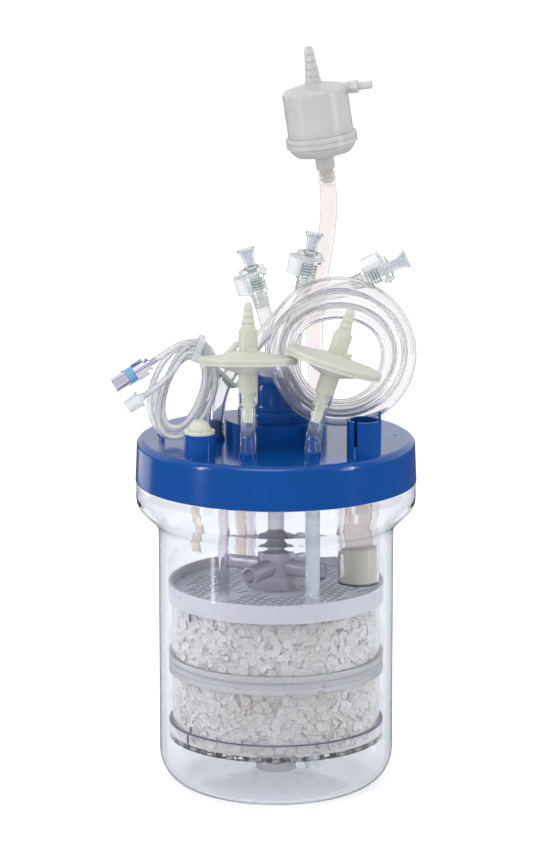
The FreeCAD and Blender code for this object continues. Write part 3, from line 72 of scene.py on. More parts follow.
# --------------------------------------------------------------------------------- materials
class Nodes:
    """A new material's node tree, with short ways to add and join nodes."""

    def __init__(self, name):
        self.material = bpy.data.materials.new(name)
        self.material.use_nodes = True
        self.tree = self.material.node_tree
        self.shader = self.tree.nodes["Principled BSDF"]
        self.output = self.tree.nodes["Material Output"]

    def add(self, kind, **values):
        node = self.tree.nodes.new("ShaderNode" + kind)
        for key, value in values.items():
            if key in node.inputs:
                node.inputs[key].default_value = value
            else:
                setattr(node, key, value)
        return node

    def join(self, out, into):
        self.tree.links.new(out, into)

    def set(self, **values):
        for key, value in values.items():
            self.shader.inputs[key.replace("_", " ")].default_value = value

    def place(self):
        return self.add("TexCoord").outputs["Object"]

    def noise(self, scale, detail=3, rough=0.5, stretch=None):
        noise = self.add("TexNoise", Scale=scale, Detail=detail, Roughness=rough)
        place = self.place()
        if stretch:
            mapping = self.add("Mapping")
            mapping.inputs["Scale"].default_value = stretch
            self.join(place, mapping.inputs["Vector"])
            place = mapping.outputs["Vector"]
        self.join(place, noise.inputs["Vector"])
        return noise.outputs["Fac"]

    def ramp(self, value, stops):
        ramp = self.add("ValToRGB")
        elements = ramp.color_ramp.elements
        while len(elements) < len(stops):
            elements.new(0.5)
        for element, (at, colour) in zip(elements, stops):
            element.position = at
            element.color = (*colour, 1)
        self.join(value, ramp.inputs["Fac"])
        return ramp.outputs["Color"]

    def span(self, value, low, high, start=0.3, end=0.7):
        node = self.add("MapRange")
        for key, number in (("From Min", start), ("From Max", end), ("To Min", low),
                            ("To Max", high)):
            node.inputs[key].default_value = number
        self.join(value, node.inputs["Value"])
        return node.outputs["Result"]

    def bump(self, value, height, strength=1.0, normal=None):
        node = self.add("Bump", Distance=height, Strength=strength)
        self.join(value, node.inputs["Height"])
        if normal:
            self.join(normal, node.inputs["Normal"])
        return node.outputs["Normal"]

    def lamps_pass(self, colour):
        """Lets lamp rays through, so that what is behind clear plastic is lit."""
        path = self.add("LightPath").outputs["Is Shadow Ray"]
        through = self.add("BsdfTransparent", Color=(*colour, 1))
        mix = self.add("MixShader")
        self.join(path, mix.inputs[0])
        self.join(self.shader.outputs[0], mix.inputs[1])
        self.join(through.outputs[0], mix.inputs[2])
        self.join(mix.outputs[0], self.output.inputs["Surface"])


def toned(colour, factor):
    return tuple(min(1.0, c * factor) for c in colour)


def moulded(name, colour, rough=0.35, mottle=0.04, grain=0.00002, grain_scale=900,
            edge=0.0, glow=0.0):
    """Opaque moulded plastic: faint mottling, uneven gloss, fine grain and rounded edges."""
    n = Nodes(name)
    n.join(n.ramp(n.noise(35, 4), [(0.3, toned(colour, 1 - mottle)),
                                   (0.7, toned(colour, 1 + mottle))]),
           n.shader.inputs["Base Color"])
    n.join(n.span(n.noise(60, 3), rough * 0.85, rough * 1.2), n.shader.inputs["Roughness"])
    normal = None
    if edge:
        bevel = n.add("Bevel", Radius=edge)
        bevel.samples = 4
        normal = bevel.outputs["Normal"]
    n.join(n.bump(n.noise(grain_scale, 2), grain, 0.6, normal), n.shader.inputs["Normal"])
    if glow:
        n.set(Subsurface_Weight=glow, Subsurface_Scale=0.004,
              Subsurface_Radius=(1.0, 0.95, 0.75))
    return n.material


def clear(name, tint, edge, rough=0.03, ior=1.46, power=0.35, ripple=0.00003, weight=1.0,
          ripple_scale=60, rim=0.62):
    """Clear plastic with faint ripples and haze; its colour darkens where it is seen edge on,
    painted shade for the dark surroundings that its edges refract.
    """
    n = Nodes(name)
    facing = n.add("LayerWeight", Blend=power).outputs["Facing"]
    n.join(n.ramp(facing, [(0.0, tint), (rim, toned(tint, 0.97)),
                           (min(1.0, rim + 0.45), edge)]),
           n.shader.inputs["Base Color"])
    n.join(n.span(n.noise(45, 3), rough * 0.6, rough * 1.5), n.shader.inputs["Roughness"])
    n.join(n.bump(n.noise(ripple_scale, 2), ripple, 0.5), n.shader.inputs["Normal"])
    n.set(Transmission_Weight=weight, IOR=ior)
    n.lamps_pass(toned(tint, 0.93))
    return n.material


def bed_fibre():
    """Pressed fibre: off-white, a little warmer in patches, with a felted surface."""
    n = Nodes("bed_fibre")
    patch = n.ramp(n.noise(28, 4, 0.6), [(0.25, (0.80, 0.75, 0.65)), (0.5, (0.88, 0.86, 0.81)),
                                         (0.75, (0.95, 0.94, 0.92))])
    n.join(patch, n.shader.inputs["Base Color"])
    n.join(n.bump(n.noise(1500, 4, 0.7), 0.00015, 0.8), n.shader.inputs["Normal"])
    n.set(Roughness=0.8)
    return n.material


def pleated():
    n = Nodes("pleat_fibre")
    n.join(n.ramp(n.noise(90, 4), [(0.3, (0.84, 0.85, 0.82)), (0.7, (0.92, 0.92, 0.90))]),
           n.shader.inputs["Base Color"])
    n.join(n.bump(n.noise(1800, 3), 0.0001, 0.7), n.shader.inputs["Normal"])
    n.set(Roughness=0.75)
    return n.material


def cartridge():
    """A cream block with a stem of pinkish clear plastic above it."""
    n = Nodes("cartridge")
    height = n.add("SeparateXYZ")
    n.join(n.place(), height.inputs[0])
    part = n.span(height.outputs["Z"], 0.0, 1.0, 0.188, 0.1885)
    n.join(n.ramp(part, [(0.3, (0.72, 0.73, 0.63)), (0.7, (0.90, 0.83, 0.79))]),
           n.shader.inputs["Base Color"])
    n.join(n.span(part, 0.15, 0.85, 0.0, 1.0), n.shader.inputs["Transmission Weight"])
    n.join(n.span(n.noise(70, 3), 0.25, 0.4), n.shader.inputs["Roughness"])
    n.set(IOR=1.35)
    return n.material


def screen_plate():
    """White plate inside a milky grey ring."""
    n = Nodes("screen_plate")
    flat = n.add("VectorMath", operation="MULTIPLY")
    flat.inputs[1].default_value = (1, 1, 0)
    n.join(n.place(), flat.inputs[0])
    radius = n.add("VectorMath", operation="LENGTH")
    n.join(flat.outputs[0], radius.inputs[0])
    part = n.span(radius.outputs["Value"], 0.0, 1.0, 0.0765, 0.077)
    n.join(n.ramp(part, [(0.3, (0.94, 0.93, 0.97)), (0.7, (0.62, 0.61, 0.64))]),
           n.shader.inputs["Base Color"])
    n.join(n.span(n.noise(60, 3), 0.25, 0.4), n.shader.inputs["Roughness"])
    n.set(Subsurface_Weight=0.2, Subsurface_Scale=0.002)
    return n.material


def plated_steel():
    n = Nodes("plated_steel")
    n.join(n.ramp(n.noise(50, 4, 0.6, (1, 1, 12)), [(0.3, (0.55, 0.55, 0.57)),
                                                    (0.7, (0.68, 0.68, 0.70))]),
           n.shader.inputs["Base Color"])
    n.join(n.span(n.noise(200, 3, 0.5, (1, 1, 20)), 0.2, 0.4), n.shader.inputs["Roughness"])
    n.set(Metallic=1.0)
    return n.material


LOOKS = {
    "lid_blue": moulded("lid_blue", (0.0015, 0.062, 0.285), 0.16, 0.04, 0.000008, 700, 0.0005),
    "clear_shell": clear("clear_shell", (0.90, 0.913, 0.943), (0.48, 0.52, 0.59), 0.012, 1.45,
                         0.45, 0.00002, ripple_scale=25),
    "plug_clear": moulded("plug_cream", (0.62, 0.625, 0.545), 0.25, 0.03, glow=0.5),
    "bearing_white": moulded("bearing_white", (0.85, 0.85, 0.82), 0.5),
    "carrier_dark": moulded("carrier_dark", (0.03, 0.03, 0.035), 0.5),
    "magnet_steel": plated_steel(),
    "impeller_grey": clear("impeller_smoke", (0.80, 0.775, 0.83), (0.06, 0.03, 0.10), 0.08,
                           1.42, 0.5, 0.00002, 0.66, rim=0.42),
    "basket_frost": clear("basket_frost", (0.80, 0.79, 0.79), (0.52, 0.50, 0.55), 0.42, 1.3,
                          0.4, 0.00005, 0.55),
    "screen_frost": screen_plate(),
    "cup_tinted": clear("cup_tinted", (0.92, 0.905, 0.91), (0.34, 0.30, 0.40), 0.02, 1.36, 0.4,
                        0.00001, 0.99),
    "basket_clear": clear("basket_clear", (0.94, 0.935, 0.95), (0.36, 0.32, 0.44), 0.03, 1.4,
                          0.3, 0.00003),
    "bed_white": bed_fibre(),
    "tube_clear": clear("tube_clear", (0.86, 0.83, 0.87), (0.24, 0.17, 0.25), 0.06, 1.45, 0.5),
    "tube_warm": clear("tube_warm", (0.96, 0.90, 0.84), (0.70, 0.58, 0.52), 0.12, 1.4, 0.4,
                       weight=0.9),
    "tube_milky": clear("tube_milky", (0.90, 0.93, 0.94), (0.62, 0.68, 0.72), 0.3, 1.35, 0.4,
                        weight=0.75),
    "well_clear": clear("well_clear", (0.93, 0.90, 0.885), (0.40, 0.33, 0.33), 0.04, 1.42,
                        0.5),
    "cartridge_white": cartridge(),
    "hose_clear": clear("hose_clear", (0.93, 0.925, 0.93), (0.05, 0.045, 0.055), 0.03, 1.41,
                        0.5, 0.0, 0.95, rim=0.40),
    "hose_vent": clear("hose_vent", (0.93, 0.945, 0.955), (0.40, 0.45, 0.50), 0.04, 1.38, 0.5,
                       0.0, 0.97),
    "hose_pink": clear("hose_pink", (0.94, 0.895, 0.885), (0.36, 0.28, 0.27), 0.08, 1.40,
                       0.5),
    "hose_pale": clear("hose_pale", (0.90, 0.905, 0.915), (0.16, 0.17, 0.20), 0.10, 1.38, 0.5,
                       0.0, 0.75, rim=0.35),
    "capsule_cream": moulded("capsule_cream", (0.54, 0.545, 0.535), 0.3, 0.03, 0.00002, 800,
                             0.0004, glow=0.6),
    "pleat_white": pleated(),
    "filter_cream": moulded("filter_cream", (0.60, 0.61, 0.525), 0.38, 0.03, 0.00002, 800,
                            0.0004, glow=0.55),
    "membrane_white": pleated(),
    "connector_clear": clear("connector_clear", (0.87, 0.895, 0.89), (0.20, 0.23, 0.22), 0.05,
                             1.45, 0.5),
    "latch_grey": clear("latch_grey", (0.88, 0.885, 0.89), (0.55, 0.57, 0.60), 0.30, 1.35,
                        0.4, weight=0.7),
    "plug_end": clear("plug_end", (0.72, 0.74, 0.78), (0.05, 0.06, 0.09), 0.06, 1.45, 0.5),
    "tie_white": moulded("tie_white", (0.64, 0.66, 0.67), 0.4, glow=0.3),
    "luer_clear": clear("luer_clear", (0.70, 0.69, 0.77), (0.06, 0.05, 0.10), 0.06, 1.45,
                        0.5, rim=0.45),
    "ring_blue": moulded("ring_blue", (0.16, 0.36, 0.58), 0.25, 0.04),
    "cap_white": clear("cap_white", (0.80, 0.81, 0.83), (0.46, 0.50, 0.54), 0.3, 1.35, 0.4,
                       weight=0.45),
    "clamp_white": moulded("clamp_white", (0.62, 0.64, 0.60), 0.35, 0.03, edge=0.0004,
                           glow=0.4),
    "seam_dark": moulded("seam_dark", (0.13, 0.09, 0.18), 0.4),
    "slot_shade": moulded("slot_shade", (0.05, 0.04, 0.07), 0.6),
    "rib_green": clear("rib_green", (0.62, 0.66, 0.64), (0.16, 0.19, 0.17), 0.08, 1.42, 0.5),
}
# The nodes whose look isn't the one that is named after their material slot.
NODE_LOOKS = {
    "basket_screen": "screen_frost", "basket_upper_wall": "basket_clear",
    "basket_mid_ring": "basket_frost", "basket_lower_cup": "cup_tinted",
    "basket_core": "basket_frost", "sparge_tube": "tube_milky",
    "outer_feed_tube": "tube_warm", "rear_feed_tube": "tube_warm",
    "left_connector_plug": "plug_end", "middle_connector_plug": "plug_end",
    "right_connector_plug": "plug_end", "line_coil": "hose_clear", "small_coil": "hose_pale",
}


def paint(piece, look):
    piece.data.materials.clear()
    piece.data.materials.append(LOOKS[look])


for part in frame["record"]["subparts"]:
    paint(nodes[part["node"]], NODE_LOOKS.get(part["node"], part["material_slot"]))


# ----------------------------------------------------------------------------- mesh builders
def shown(name, mesh, look, slot=None, sharp=35):
    """A piece from a bmesh: smooth but for its sharp edges, painted, on the vessel's body."""
    bmesh.ops.recalc_face_normals(mesh, faces=mesh.faces)
    limit = math.radians(sharp)
    for face in mesh.faces:
        face.smooth = True
    for edge in mesh.edges:
        if len(edge.link_faces) == 2:
            edge.smooth = edge.calc_face_angle(0) < limit
    data = bpy.data.meshes.new(name)
    mesh.to_mesh(data)
    mesh.free()
    piece = bpy.data.objects.new(name, data)
    scene.collection.objects.link(piece)
    paint(piece, look)
    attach(piece, ROOT)
    return piece


def softened(corners, steps=8):
    """A closed outline with the corners (r, z, radius) rounded off."""
    line = []
    count = len(corners)
    for i, corner in enumerate(corners):
        here = Vector(corner[:2])
        radius = corner[2] if len(corner) > 2 else 0
        if not radius:
            line.append(here)
            continue
        before = (Vector(corners[i - 1][:2]) - here).normalized()
        after = (Vector(corners[(i + 1) % count][:2]) - here).normalized()
        half = before.angle(after) / 2
        reach = radius / math.tan(half)
        centre = here + (before + after).normalized() * (radius / math.sin(half))
        start = here + before * reach - centre
        turn = start.angle_signed(here + after * reach - centre)
        for step in range(steps + 1):
            line.append(centre + Matrix.Rotation(-turn * step / steps, 2) @ start)
    return line


def lathed(name, outlines, look, sides, place=None, **more):
    """Closed outlines, in millimetres, turned about Z."""
    mesh = bmesh.new()
    for outline in [softened(corners) for corners in outlines]:
        rings = []
        for side in range(sides):
            angle = math.tau * side / sides
            rings.append([mesh.verts.new((r * MM * math.cos(angle), r * MM * math.sin(angle),
                                          z * MM)) for r, z in outline])
        count = len(outline)
        for side in range(sides):
            one, two = rings[side], rings[(side + 1) % sides]
            for i in range(count):
                j = (i + 1) % count
                mesh.faces.new((one[i], two[i], two[j], one[j]))
    bmesh.ops.remove_doubles(mesh, verts=mesh.verts, dist=1e-6)
    bmesh.ops.dissolve_degenerate(mesh, edges=mesh.edges, dist=1e-7)
    if place:
        mesh.transform(place)
    return shown(name, mesh, look, **more)


def smooth_line(points, resolution):
    """Points read from the NURBS spline that has a route's points as its control points."""
    data = bpy.data.curves.new("route", "CURVE")
    data.dimensions = "3D"
    spline = data.splines.new("NURBS")
    spline.points.add(len(points) - 1)
    for control, point in zip(spline.points, points):
        control.co = (*point, 1)
    spline.order_u = 3
    spline.use_endpoint_u = True
    data.resolution_u = resolution
    holder = bpy.data.objects.new("route", data)
    read = bpy.data.meshes.new_from_object(holder)
    line = [v.co.copy() for v in read.vertices]
    bpy.data.meshes.remove(read)
    bpy.data.objects.remove(holder)
    bpy.data.curves.remove(data)
    return line


def frames_along(line):
    """Two directions across a line at each of its points, carried along without twist."""
    tangents = [(line[min(i + 1, len(line) - 1)] - line[max(i - 1, 0)]).normalized()
                for i in range(len(line))]
    across = tangents[0].orthogonal().normalized()
    pairs = []
    for tangent in tangents:
        across = (across - tangent * across.dot(tangent)).normalized()
        pairs.append((across, tangent.cross(across)))
    return pairs


SWELL_FADE = 0.3


def tubing(name, route, diameter, bore, look, swells=(), sides=24, resolution=10, slot=None,
           **cord):
    """A hose with its bore, along a route's spline. A swell is over a barb, at an end of the
    hose (0 or 1) and for a length: the outside radius grows by a little and the bore's radius
    becomes the grip. It fades out over a share of its length."""
    line = smooth_line(route, resolution)
    pairs = frames_along(line)
    along = [0.0]
    for a, b in zip(line, line[1:]):
        along.append(along[-1] + (b - a).length)
    total = along[-1]

    def radius_at(distance, inside):
        radius = (bore if inside else diameter) / 2
        for end, length, by, grip in swells:
            gap = distance if end == 0 else total - distance
            fade = min(1.0, max(0.0, (length * (1 + SWELL_FADE) - gap) / (length * SWELL_FADE)))
            radius += ((grip - bore / 2) if inside else by) * fade
        return radius

    mesh = bmesh.new()
    walls = []
    for inside in (False, True):
        rings = []
        for point, (u, v), distance in zip(line, pairs, along):
            r = radius_at(distance, inside)
            rings.append([mesh.verts.new(point + u * r * math.cos(math.tau * k / sides)
                                         + v * r * math.sin(math.tau * k / sides))
                          for k in range(sides)])
        for one, two in zip(rings, rings[1:]):
            for k in range(sides):
                j = (k + 1) % sides
                mesh.faces.new((one[k], one[j], two[j], two[k]))
        walls.append(rings)
    for end in (0, -1):
        for k in range(sides):
            j = (k + 1) % sides
            mesh.faces.new((walls[0][end][k], walls[0][end][j], walls[1][end][j],
                            walls[1][end][k]))
    piece = shown(name, mesh, look, slot=slot)
    return piece


# --------------------------------------------------------------------------------- free hoses
# Outside and bore diameters, in metres, and the radius of the barbs that a bore grips.
LINE_SIZE = (0.0106, 0.0074)
TALL_SIZE = (0.0122, 0.0082)
VENT_SIZE = (0.0114, 0.0086)
THIN_SIZE = (0.0044, 0.0026)
BARB_RADIUS = 0.0034
LINE_BARBS = [(0, 0.012, 0.0005, BARB_RADIUS), (1, 0.009, 0.0005, BARB_RADIUS)]
# Routes are in metres, and each hose starts at this height on its port.
HOSE_FOOT = 0.268
LINE_START = [(-0.0444, -0.009, HOSE_FOOT), (-0.0444, -0.009, 0.304), (-0.015, 0.005, 0.3335),
              (0.002, -0.004, 0.356)]
LINE_END = [(0.015, 0.004, 0.360), (0.0406, 0.022, 0.3677), (0.0653, 0.022, 0.3797)]
COIL_CENTRE = Vector((0.046, -0.017, 0.3327))
COIL_LEAN = math.radians(28)
COIL_START = math.radians(149)
COIL_STEPS = 16  # to a turn
COIL_LAST_STEP = 47
# Turn number, distance from the middle and place in depth, in millimetres, front positive.
COIL_TURNS = [(0.0, 51.8, 0.0), (0.16, 53.3, 1.0), (0.41, 53.0, -3.5), (0.66, 52.0, -3.4),
              (0.91, 48.0, -0.5), (1.16, 40.8, 4.0), (1.41, 46.2, 4.8), (1.66, 47.6, 6.0),
              (1.91, 38.2, 3.6), (2.16, 31.4, -1.8), (2.41, 37.2, -1.2), (2.66, 41.8, -3.6),
              (2.85, 36.5, -7.0), (3.0, 41.5, -8.2)]


def between(keys, at):
    """Values between listed keys, eased at each key."""
    for one, two in zip(keys, keys[1:]):
        if at <= two[0]:
            part = (at - one[0]) / (two[0] - one[0])
            part = part * part * (3 - 2 * part)
            return [a + (b - a) * part for a, b in zip(one[1:], two[1:])]
    return list(keys[-1][1:])


def coil_points():
    """The big coil's control points, clockwise seen from the front."""
    up = Vector((0, math.sin(COIL_LEAN), math.cos(COIL_LEAN)))
    front = Vector((0, -math.cos(COIL_LEAN), math.sin(COIL_LEAN)))
    points = []
    for step in range(1, COIL_LAST_STEP + 1):
        turn = step / COIL_STEPS
        angle = COIL_START - math.tau * turn
        reach, depth = between(COIL_TURNS, turn)
        points.append(tuple(COIL_CENTRE + Vector((1, 0, 0)) * reach * MM * math.cos(angle)
                            + up * reach * MM * math.sin(angle) + front * depth * MM))
    return points


line_tubing = tubing(
    "line_tubing", LINE_START + coil_points() + LINE_END, *LINE_SIZE, "hose_clear",
    swells=LINE_BARBS, far_end="connector", stiffness="medium", lay="coiled",
    with_pieces=[nodes[n] for n in (
        "right_connector_body", "right_connector_latch", "right_connector_plug",
        "pinch_clamp")])
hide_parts("line_hose", "line_coil", "line_end_hose")

LEFT_ROUTE = [(-0.004, 0.052, HOSE_FOOT), (-0.004, 0.052, 0.292), (-0.002, 0.044, 0.318),
              (-0.0055, 0.028, 0.3433), (-0.0126, 0.028, 0.3673)]
MIDDLE_ROUTE = [(0.014, 0.0505, HOSE_FOOT), (0.014, 0.0505, 0.294), (0.013, 0.037, 0.326),
                (0.0163, 0.020, 0.3555), (0.0214, 0.020, 0.380)]
CAPSULE_ROUTE = [(0.031, 0.044, HOSE_FOOT), (0.031, 0.044, 0.300), (0.0282, 0.044, 0.335),
                 (0.032, 0.040, 0.376), (0.0382, 0.036, 0.412), (0.0398, 0.034, 0.4413),
                 (0.0369, 0.034, 0.4611)]
for side, route in (("left", LEFT_ROUTE), ("middle", MIDDLE_ROUTE)):
    hose = tubing(f"{side}_tubing", route, *LINE_SIZE, "hose_clear", swells=LINE_BARBS,
                  far_end="connector", stiffness="stiff", lay="taut", resolution=16, with_pieces=[
                      nodes[f"{side}_connector_{piece}"] for piece in ("body", "latch", "plug")])
    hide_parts(f"{side}_hose")
tall_tubing = tubing("tall_tubing", CAPSULE_ROUTE, *TALL_SIZE, "hose_pink",
                     swells=[(0, 0.012, 0.0002, BARB_RADIUS), (1, 0.010, 0.0002, BARB_RADIUS)],
                     far_end="fitting", stiffness="stiff", lay="taut", resolution=16, with_pieces=[
                         nodes[f"capsule_{piece}"] for piece in ("base", "shell", "core",
                                                                 "vent")])
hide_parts("capsule_hose")

# Each vent hose is too short and stiff to be a cord.
for side, (x, y), bend, stem, lean_side, lean_back in (
        ("left", (-20.2, -67), 283, 311.9, 0, 8), ("right", (26.6, -63), 284, 310.7, 17.6, 5)):
    rise = stem - bend
    route = [(x * MM, y * MM, HOSE_FOOT), (x * MM, y * MM, bend * MM),
             ((x + rise * math.tan(math.radians(lean_side))) * MM,
              (y + rise * math.tan(math.radians(lean_back))) * MM, stem * MM)]
    hose = tubing(f"{side}_vent_tubing", route, *VENT_SIZE, "hose_vent",
                  swells=[(0, 0.012, 0.0001, BARB_RADIUS), (1, 0.008, 0.0013, BARB_RADIUS)],
                  resolution=24, slot="hose_clear")
    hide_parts(f"{side}_vent_hose")

# The small coil of two thin lines: an oval that leans to the right, seen from the front.
OVAL_CENTRE = Vector((-0.068, -0.0265, 0.306))
OVAL_LEAN = math.radians(20)
OVAL = (17.5, 33.5)
OVAL_STEPS = 14  # to a turn


def oval_point(angle, wide, depth, slip, tall):
    across = Vector((math.cos(OVAL_LEAN), 0, -math.sin(OVAL_LEAN)))
    up = Vector((math.sin(OVAL_LEAN), 0, math.cos(OVAL_LEAN)))
    x = (OVAL[0] + wide) * math.cos(angle) + slip
    y = (OVAL[1] + tall) * math.sin(angle)
    return tuple(OVAL_CENTRE + across * x * MM + up * y * MM + Vector((0, -depth * MM, 0)))


def oval_turns(start, first, turns, keys):
    """Control points of one thin line's turns, anticlockwise from a start in degrees. The
    steps before the first are left to the line's riser."""
    points = []
    for step in range(first, round(turns * OVAL_STEPS)):
        turn = step / OVAL_STEPS
        points.append(oval_point(math.radians(start) + math.tau * turn, *between(keys, turn)))
    return points


VALVE_RISER = [(-0.085, 0.012, 0.267), (-0.085, 0.012, 0.281), (-0.0854, 0.005, 0.294),
               (-0.0865, -0.006, 0.3035), (-0.0865, -0.013, 0.3035), (-0.0883, -0.0208, 0.298)]
VALVE_LEAD = [(-0.052, -0.029, 0.3385), (-0.067, -0.033, 0.344), (-0.0805, -0.0382, 0.3358),
              (-0.0919, -0.040, 0.3288)]
CAP_RISER = [(-0.054, 0.017, 0.267), (-0.054, 0.017, 0.280), (-0.0534, 0.009, 0.292),
             (-0.052, -0.0055, 0.2985), (-0.052, -0.013, 0.2985), (-0.0512, -0.020, 0.3045)]
CAP_LEAD = [(-0.0522, -0.0316, 0.330), (-0.0576, -0.0314, 0.3353),
            (-0.0654, -0.0312, 0.335), (-0.0705, -0.0345, 0.3295), (-0.0755, -0.039, 0.3215),
            (-0.0859, -0.0398, 0.3118), (-0.0965, -0.042, 0.3048)]
# Turn number; then shifts outward, forward, sideways and lengthwise, in millimetres.
VALVE_TURNS = [(0.0, 1.0, -6.5, 0.0, 1.0), (0.12, 3.6, -4.8, 0.0, 3.6),
               (0.47, 4.4, -4.8, 0.6, 4.4), (0.72, 4.2, -4.8, 0.4, 4.2),
               (0.97, 5.0, -0.4, -0.8, 4.6), (1.22, 4.2, 0.0, 0.4, 4.2),
               (1.47, 2.6, 0.0, -3.0, 3.6), (1.72, 3.9, 0.2, 0.0, 3.9),
               (1.97, 1.6, 4.4, 4.6, 2.4), (2.22, 2.6, 4.9, 2.0, 2.6),
               (2.47, 3.8, 5.0, 0.8, 3.8), (2.75, 3.8, 5.0, 0.0, 3.8)]
CAP_TURNS = [(0.0, 0.0, -6.5, 0.0, 0.0), (0.12, -0.8, -5.0, 0.0, -0.8),
             (0.25, -0.6, -4.8, 0.0, -1.4), (0.5, -1.8, -4.6, 1.6, -2.4),
             (0.75, -1.2, -2.4, 0.6, -2.4), (1.0, -2.0, -0.4, -1.8, -4.0),
             (1.25, -2.0, 0.0, -0.6, -7.0), (1.5, -2.6, 0.2, 2.0, -6.5),
             (1.75, -2.0, 3.8, 0.8, -4.6), (2.0, -1.8, 4.6, -1.0, -3.0),
             (2.3, -3.0, 5.4, -1.0, -3.0)]
# The oval's values: its start, first step, number of turns and shifts.
for name, riser, lead, oval, on_it, solids in (
        ("valve_tubing", VALVE_RISER, VALVE_LEAD, (190, 2, 2.62, VALVE_TURNS),
         ("luer_valve", "luer_ring"), ("valve_lead", "small_coil")),
        ("cap_tubing", CAP_RISER, CAP_LEAD, (0, 1, 2.14, CAP_TURNS), ("luer_cap",),
         ("cap_lead", "sample_risers"))):
    thin = tubing(name, riser + oval_turns(*oval) + lead, *THIN_SIZE, "hose_pale",
                  sides=16, resolution=8, far_end="fitting", stiffness="limp",
                  lay="coiled", with_pieces=[nodes[n] for n in on_it])
    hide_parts(*solids)


# ------------------------------------------------------------------------------------- vessel
# The wall's corners (radius, height, rounding), up the outside and down the inside. The slope
# inside the collar is gentler than the solid's, whose short ledge would show as a black line.
vessel = lathed("vessel_shell", [[
    (0.01, 9.7), (58, 0.3, 1), (61.5, 0), (87.5, 0, 26), (87.5, 198.5, 14), (104, 215, 12),
    (104, 233, 0.8), (101.2, 233), (101.2, 260.7, 1), (98.7, 260.7, 1), (98.7, 252, 8),
    (101.5, 226, 8), (101.5, 216.04, 12), (85, 199.54, 16.5), (85, 2.5, 23.5),
    (61.5, 2.5), (58, 3.2, 0.5), (0.01, 12.5)]], "clear_shell", 192)
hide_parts("vessel")


# --------------------------------------------------------------------------- carrier disks
# Millimetres: the wall that the disks lie against, the core's bore and wall, and the disks'
# radius, half their thickness and how far they are dished.
BED_RADIUS = 75.6
CORE_RADII = (15.6, 72.6)
DISK_RADII = (2.8, 3.3)
DISK_HALVES = (0.25, 0.4)
DISK_DISH = 0.35
DISK_SIDES = 8


def packed_disks(name, node, low, high, count):
    """Loose fibre disks against the basket's wall, over a plain core."""
    mesh = bmesh.new()
    ring = [math.tau * k / DISK_SIDES for k in range(DISK_SIDES)]
    for _ in range(count):
        angle = rng.uniform(0, math.tau)
        radius = BED_RADIUS - 0.3 - abs(rng.gauss(0, 2.0))
        normal = Vector((math.cos(angle), math.sin(angle), 0)) * rng.uniform(0.6, 2.2) + Vector(
            (rng.gauss(0, 0.5), rng.gauss(0, 0.5), rng.gauss(0, 0.7)))
        normal.normalize()
        size = rng.uniform(*DISK_RADII)
        thick = rng.uniform(*DISK_HALVES)
        lean = math.sqrt(1 - min(1.0, (normal.x * math.cos(angle)
                                       + normal.y * math.sin(angle)) ** 2))
        radius = min(radius, BED_RADIUS - size * lean - thick)
        rise = size * math.sqrt(1 - normal.z ** 2) + thick
        z = rng.uniform(low + rise, high - rise)
        centre = Vector((radius * math.cos(angle), radius * math.sin(angle), z))
        u = normal.orthogonal().normalized()
        v = normal.cross(u)
        dish = rng.uniform(-DISK_DISH, DISK_DISH)
        caps = []
        for face in (-1, 1):
            middle = mesh.verts.new((centre + normal * (face * thick + dish)) * MM)
            rim = [mesh.verts.new((centre + normal * face * thick
                                   + (u * math.cos(at) + v * math.sin(at)) * size) * MM)
                   for at in ring]
            caps.append(rim)
            for k in range(DISK_SIDES):
                mesh.faces.new((middle, rim[k], rim[(k + 1) % DISK_SIDES]))
        for k in range(DISK_SIDES):
            j = (k + 1) % DISK_SIDES
            mesh.faces.new((caps[0][k], caps[0][j], caps[1][j], caps[1][k]))
    disks = shown(name, mesh, "bed_white", sharp=50)
    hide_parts(node)
    bore, wall = CORE_RADII
    lathed(name + "_core", [[(bore, low), (wall, low, 1), (wall, high - 3, 1),
                             (bore, high - 3)]], "bed_white", 96)


lathed("screen_shade", [[(20.5, 149.2), (74.0, 149.2), (74.0, 149.4), (20.5, 149.4)]],
       "slot_shade", 96, slot="basket_cream")
lathed("cup_band_edge", [[(77.9, 49.4), (80.62, 49.4), (80.62, 49.9, 0.1), (77.9, 49.9)]],
       "seam_dark", 160, slot="basket_cream")
packed_disks("upper_disks", "upper_bed", 97.3, 146.0, 3300)
packed_disks("lower_disks", "lower_bed", 40.7, 94.1, 3600)


# -------------------------------------------------------------------------- small details
MARK_STEPS = 8
MARK_DEEP = 0.9
MARKS_AT = 217  # degrees around the basket, from +X


def mark(name, radius, low, high, wide):
    """A narrow, dark upright mark with rounded ends on the basket's outside."""
    mesh = bmesh.new()
    turn = Matrix.Rotation(math.radians(MARKS_AT), 4, "Z")
    ring = []
    for end, z in ((0, low + wide / 2), (1, high - wide / 2)):
        for step in range(MARK_STEPS + 1):
            at = math.pi * (step / MARK_STEPS + (0 if end else 1))
            ring.append((wide / 2 * math.cos(at), z + wide / 2 * math.sin(at)))
    for depth in (radius, radius + MARK_DEEP):
        mesh.faces.new([mesh.verts.new(turn @ Vector((depth * MM, y * MM, z * MM)))
                        for y, z in ring])
    mesh.verts.ensure_lookup_table()
    count = len(ring)
    for k in range(count):
        j = (k + 1) % count
        mesh.faces.new([mesh.verts[i] for i in (k, j, j + count, k + count)])
    shown(name, mesh, "seam_dark", slot="basket_cream")


mark("upper_mark", 78.02, 135.4, 142.3, 1.5)
mark("lower_mark", 78.02, 50.2, 55.0, 1.5)
mark("band_mark", 80.52, 38.0, 49.2, 1.2)


def along_route(points):
    """A placement at a route's last point with Z along its last run."""
    last, before = Vector(points[-1]), Vector(points[-2])
    axis = (last - before).normalized()
    return Matrix.Translation(last) @ axis.to_track_quat("Z", "Y").to_matrix().to_4x4()


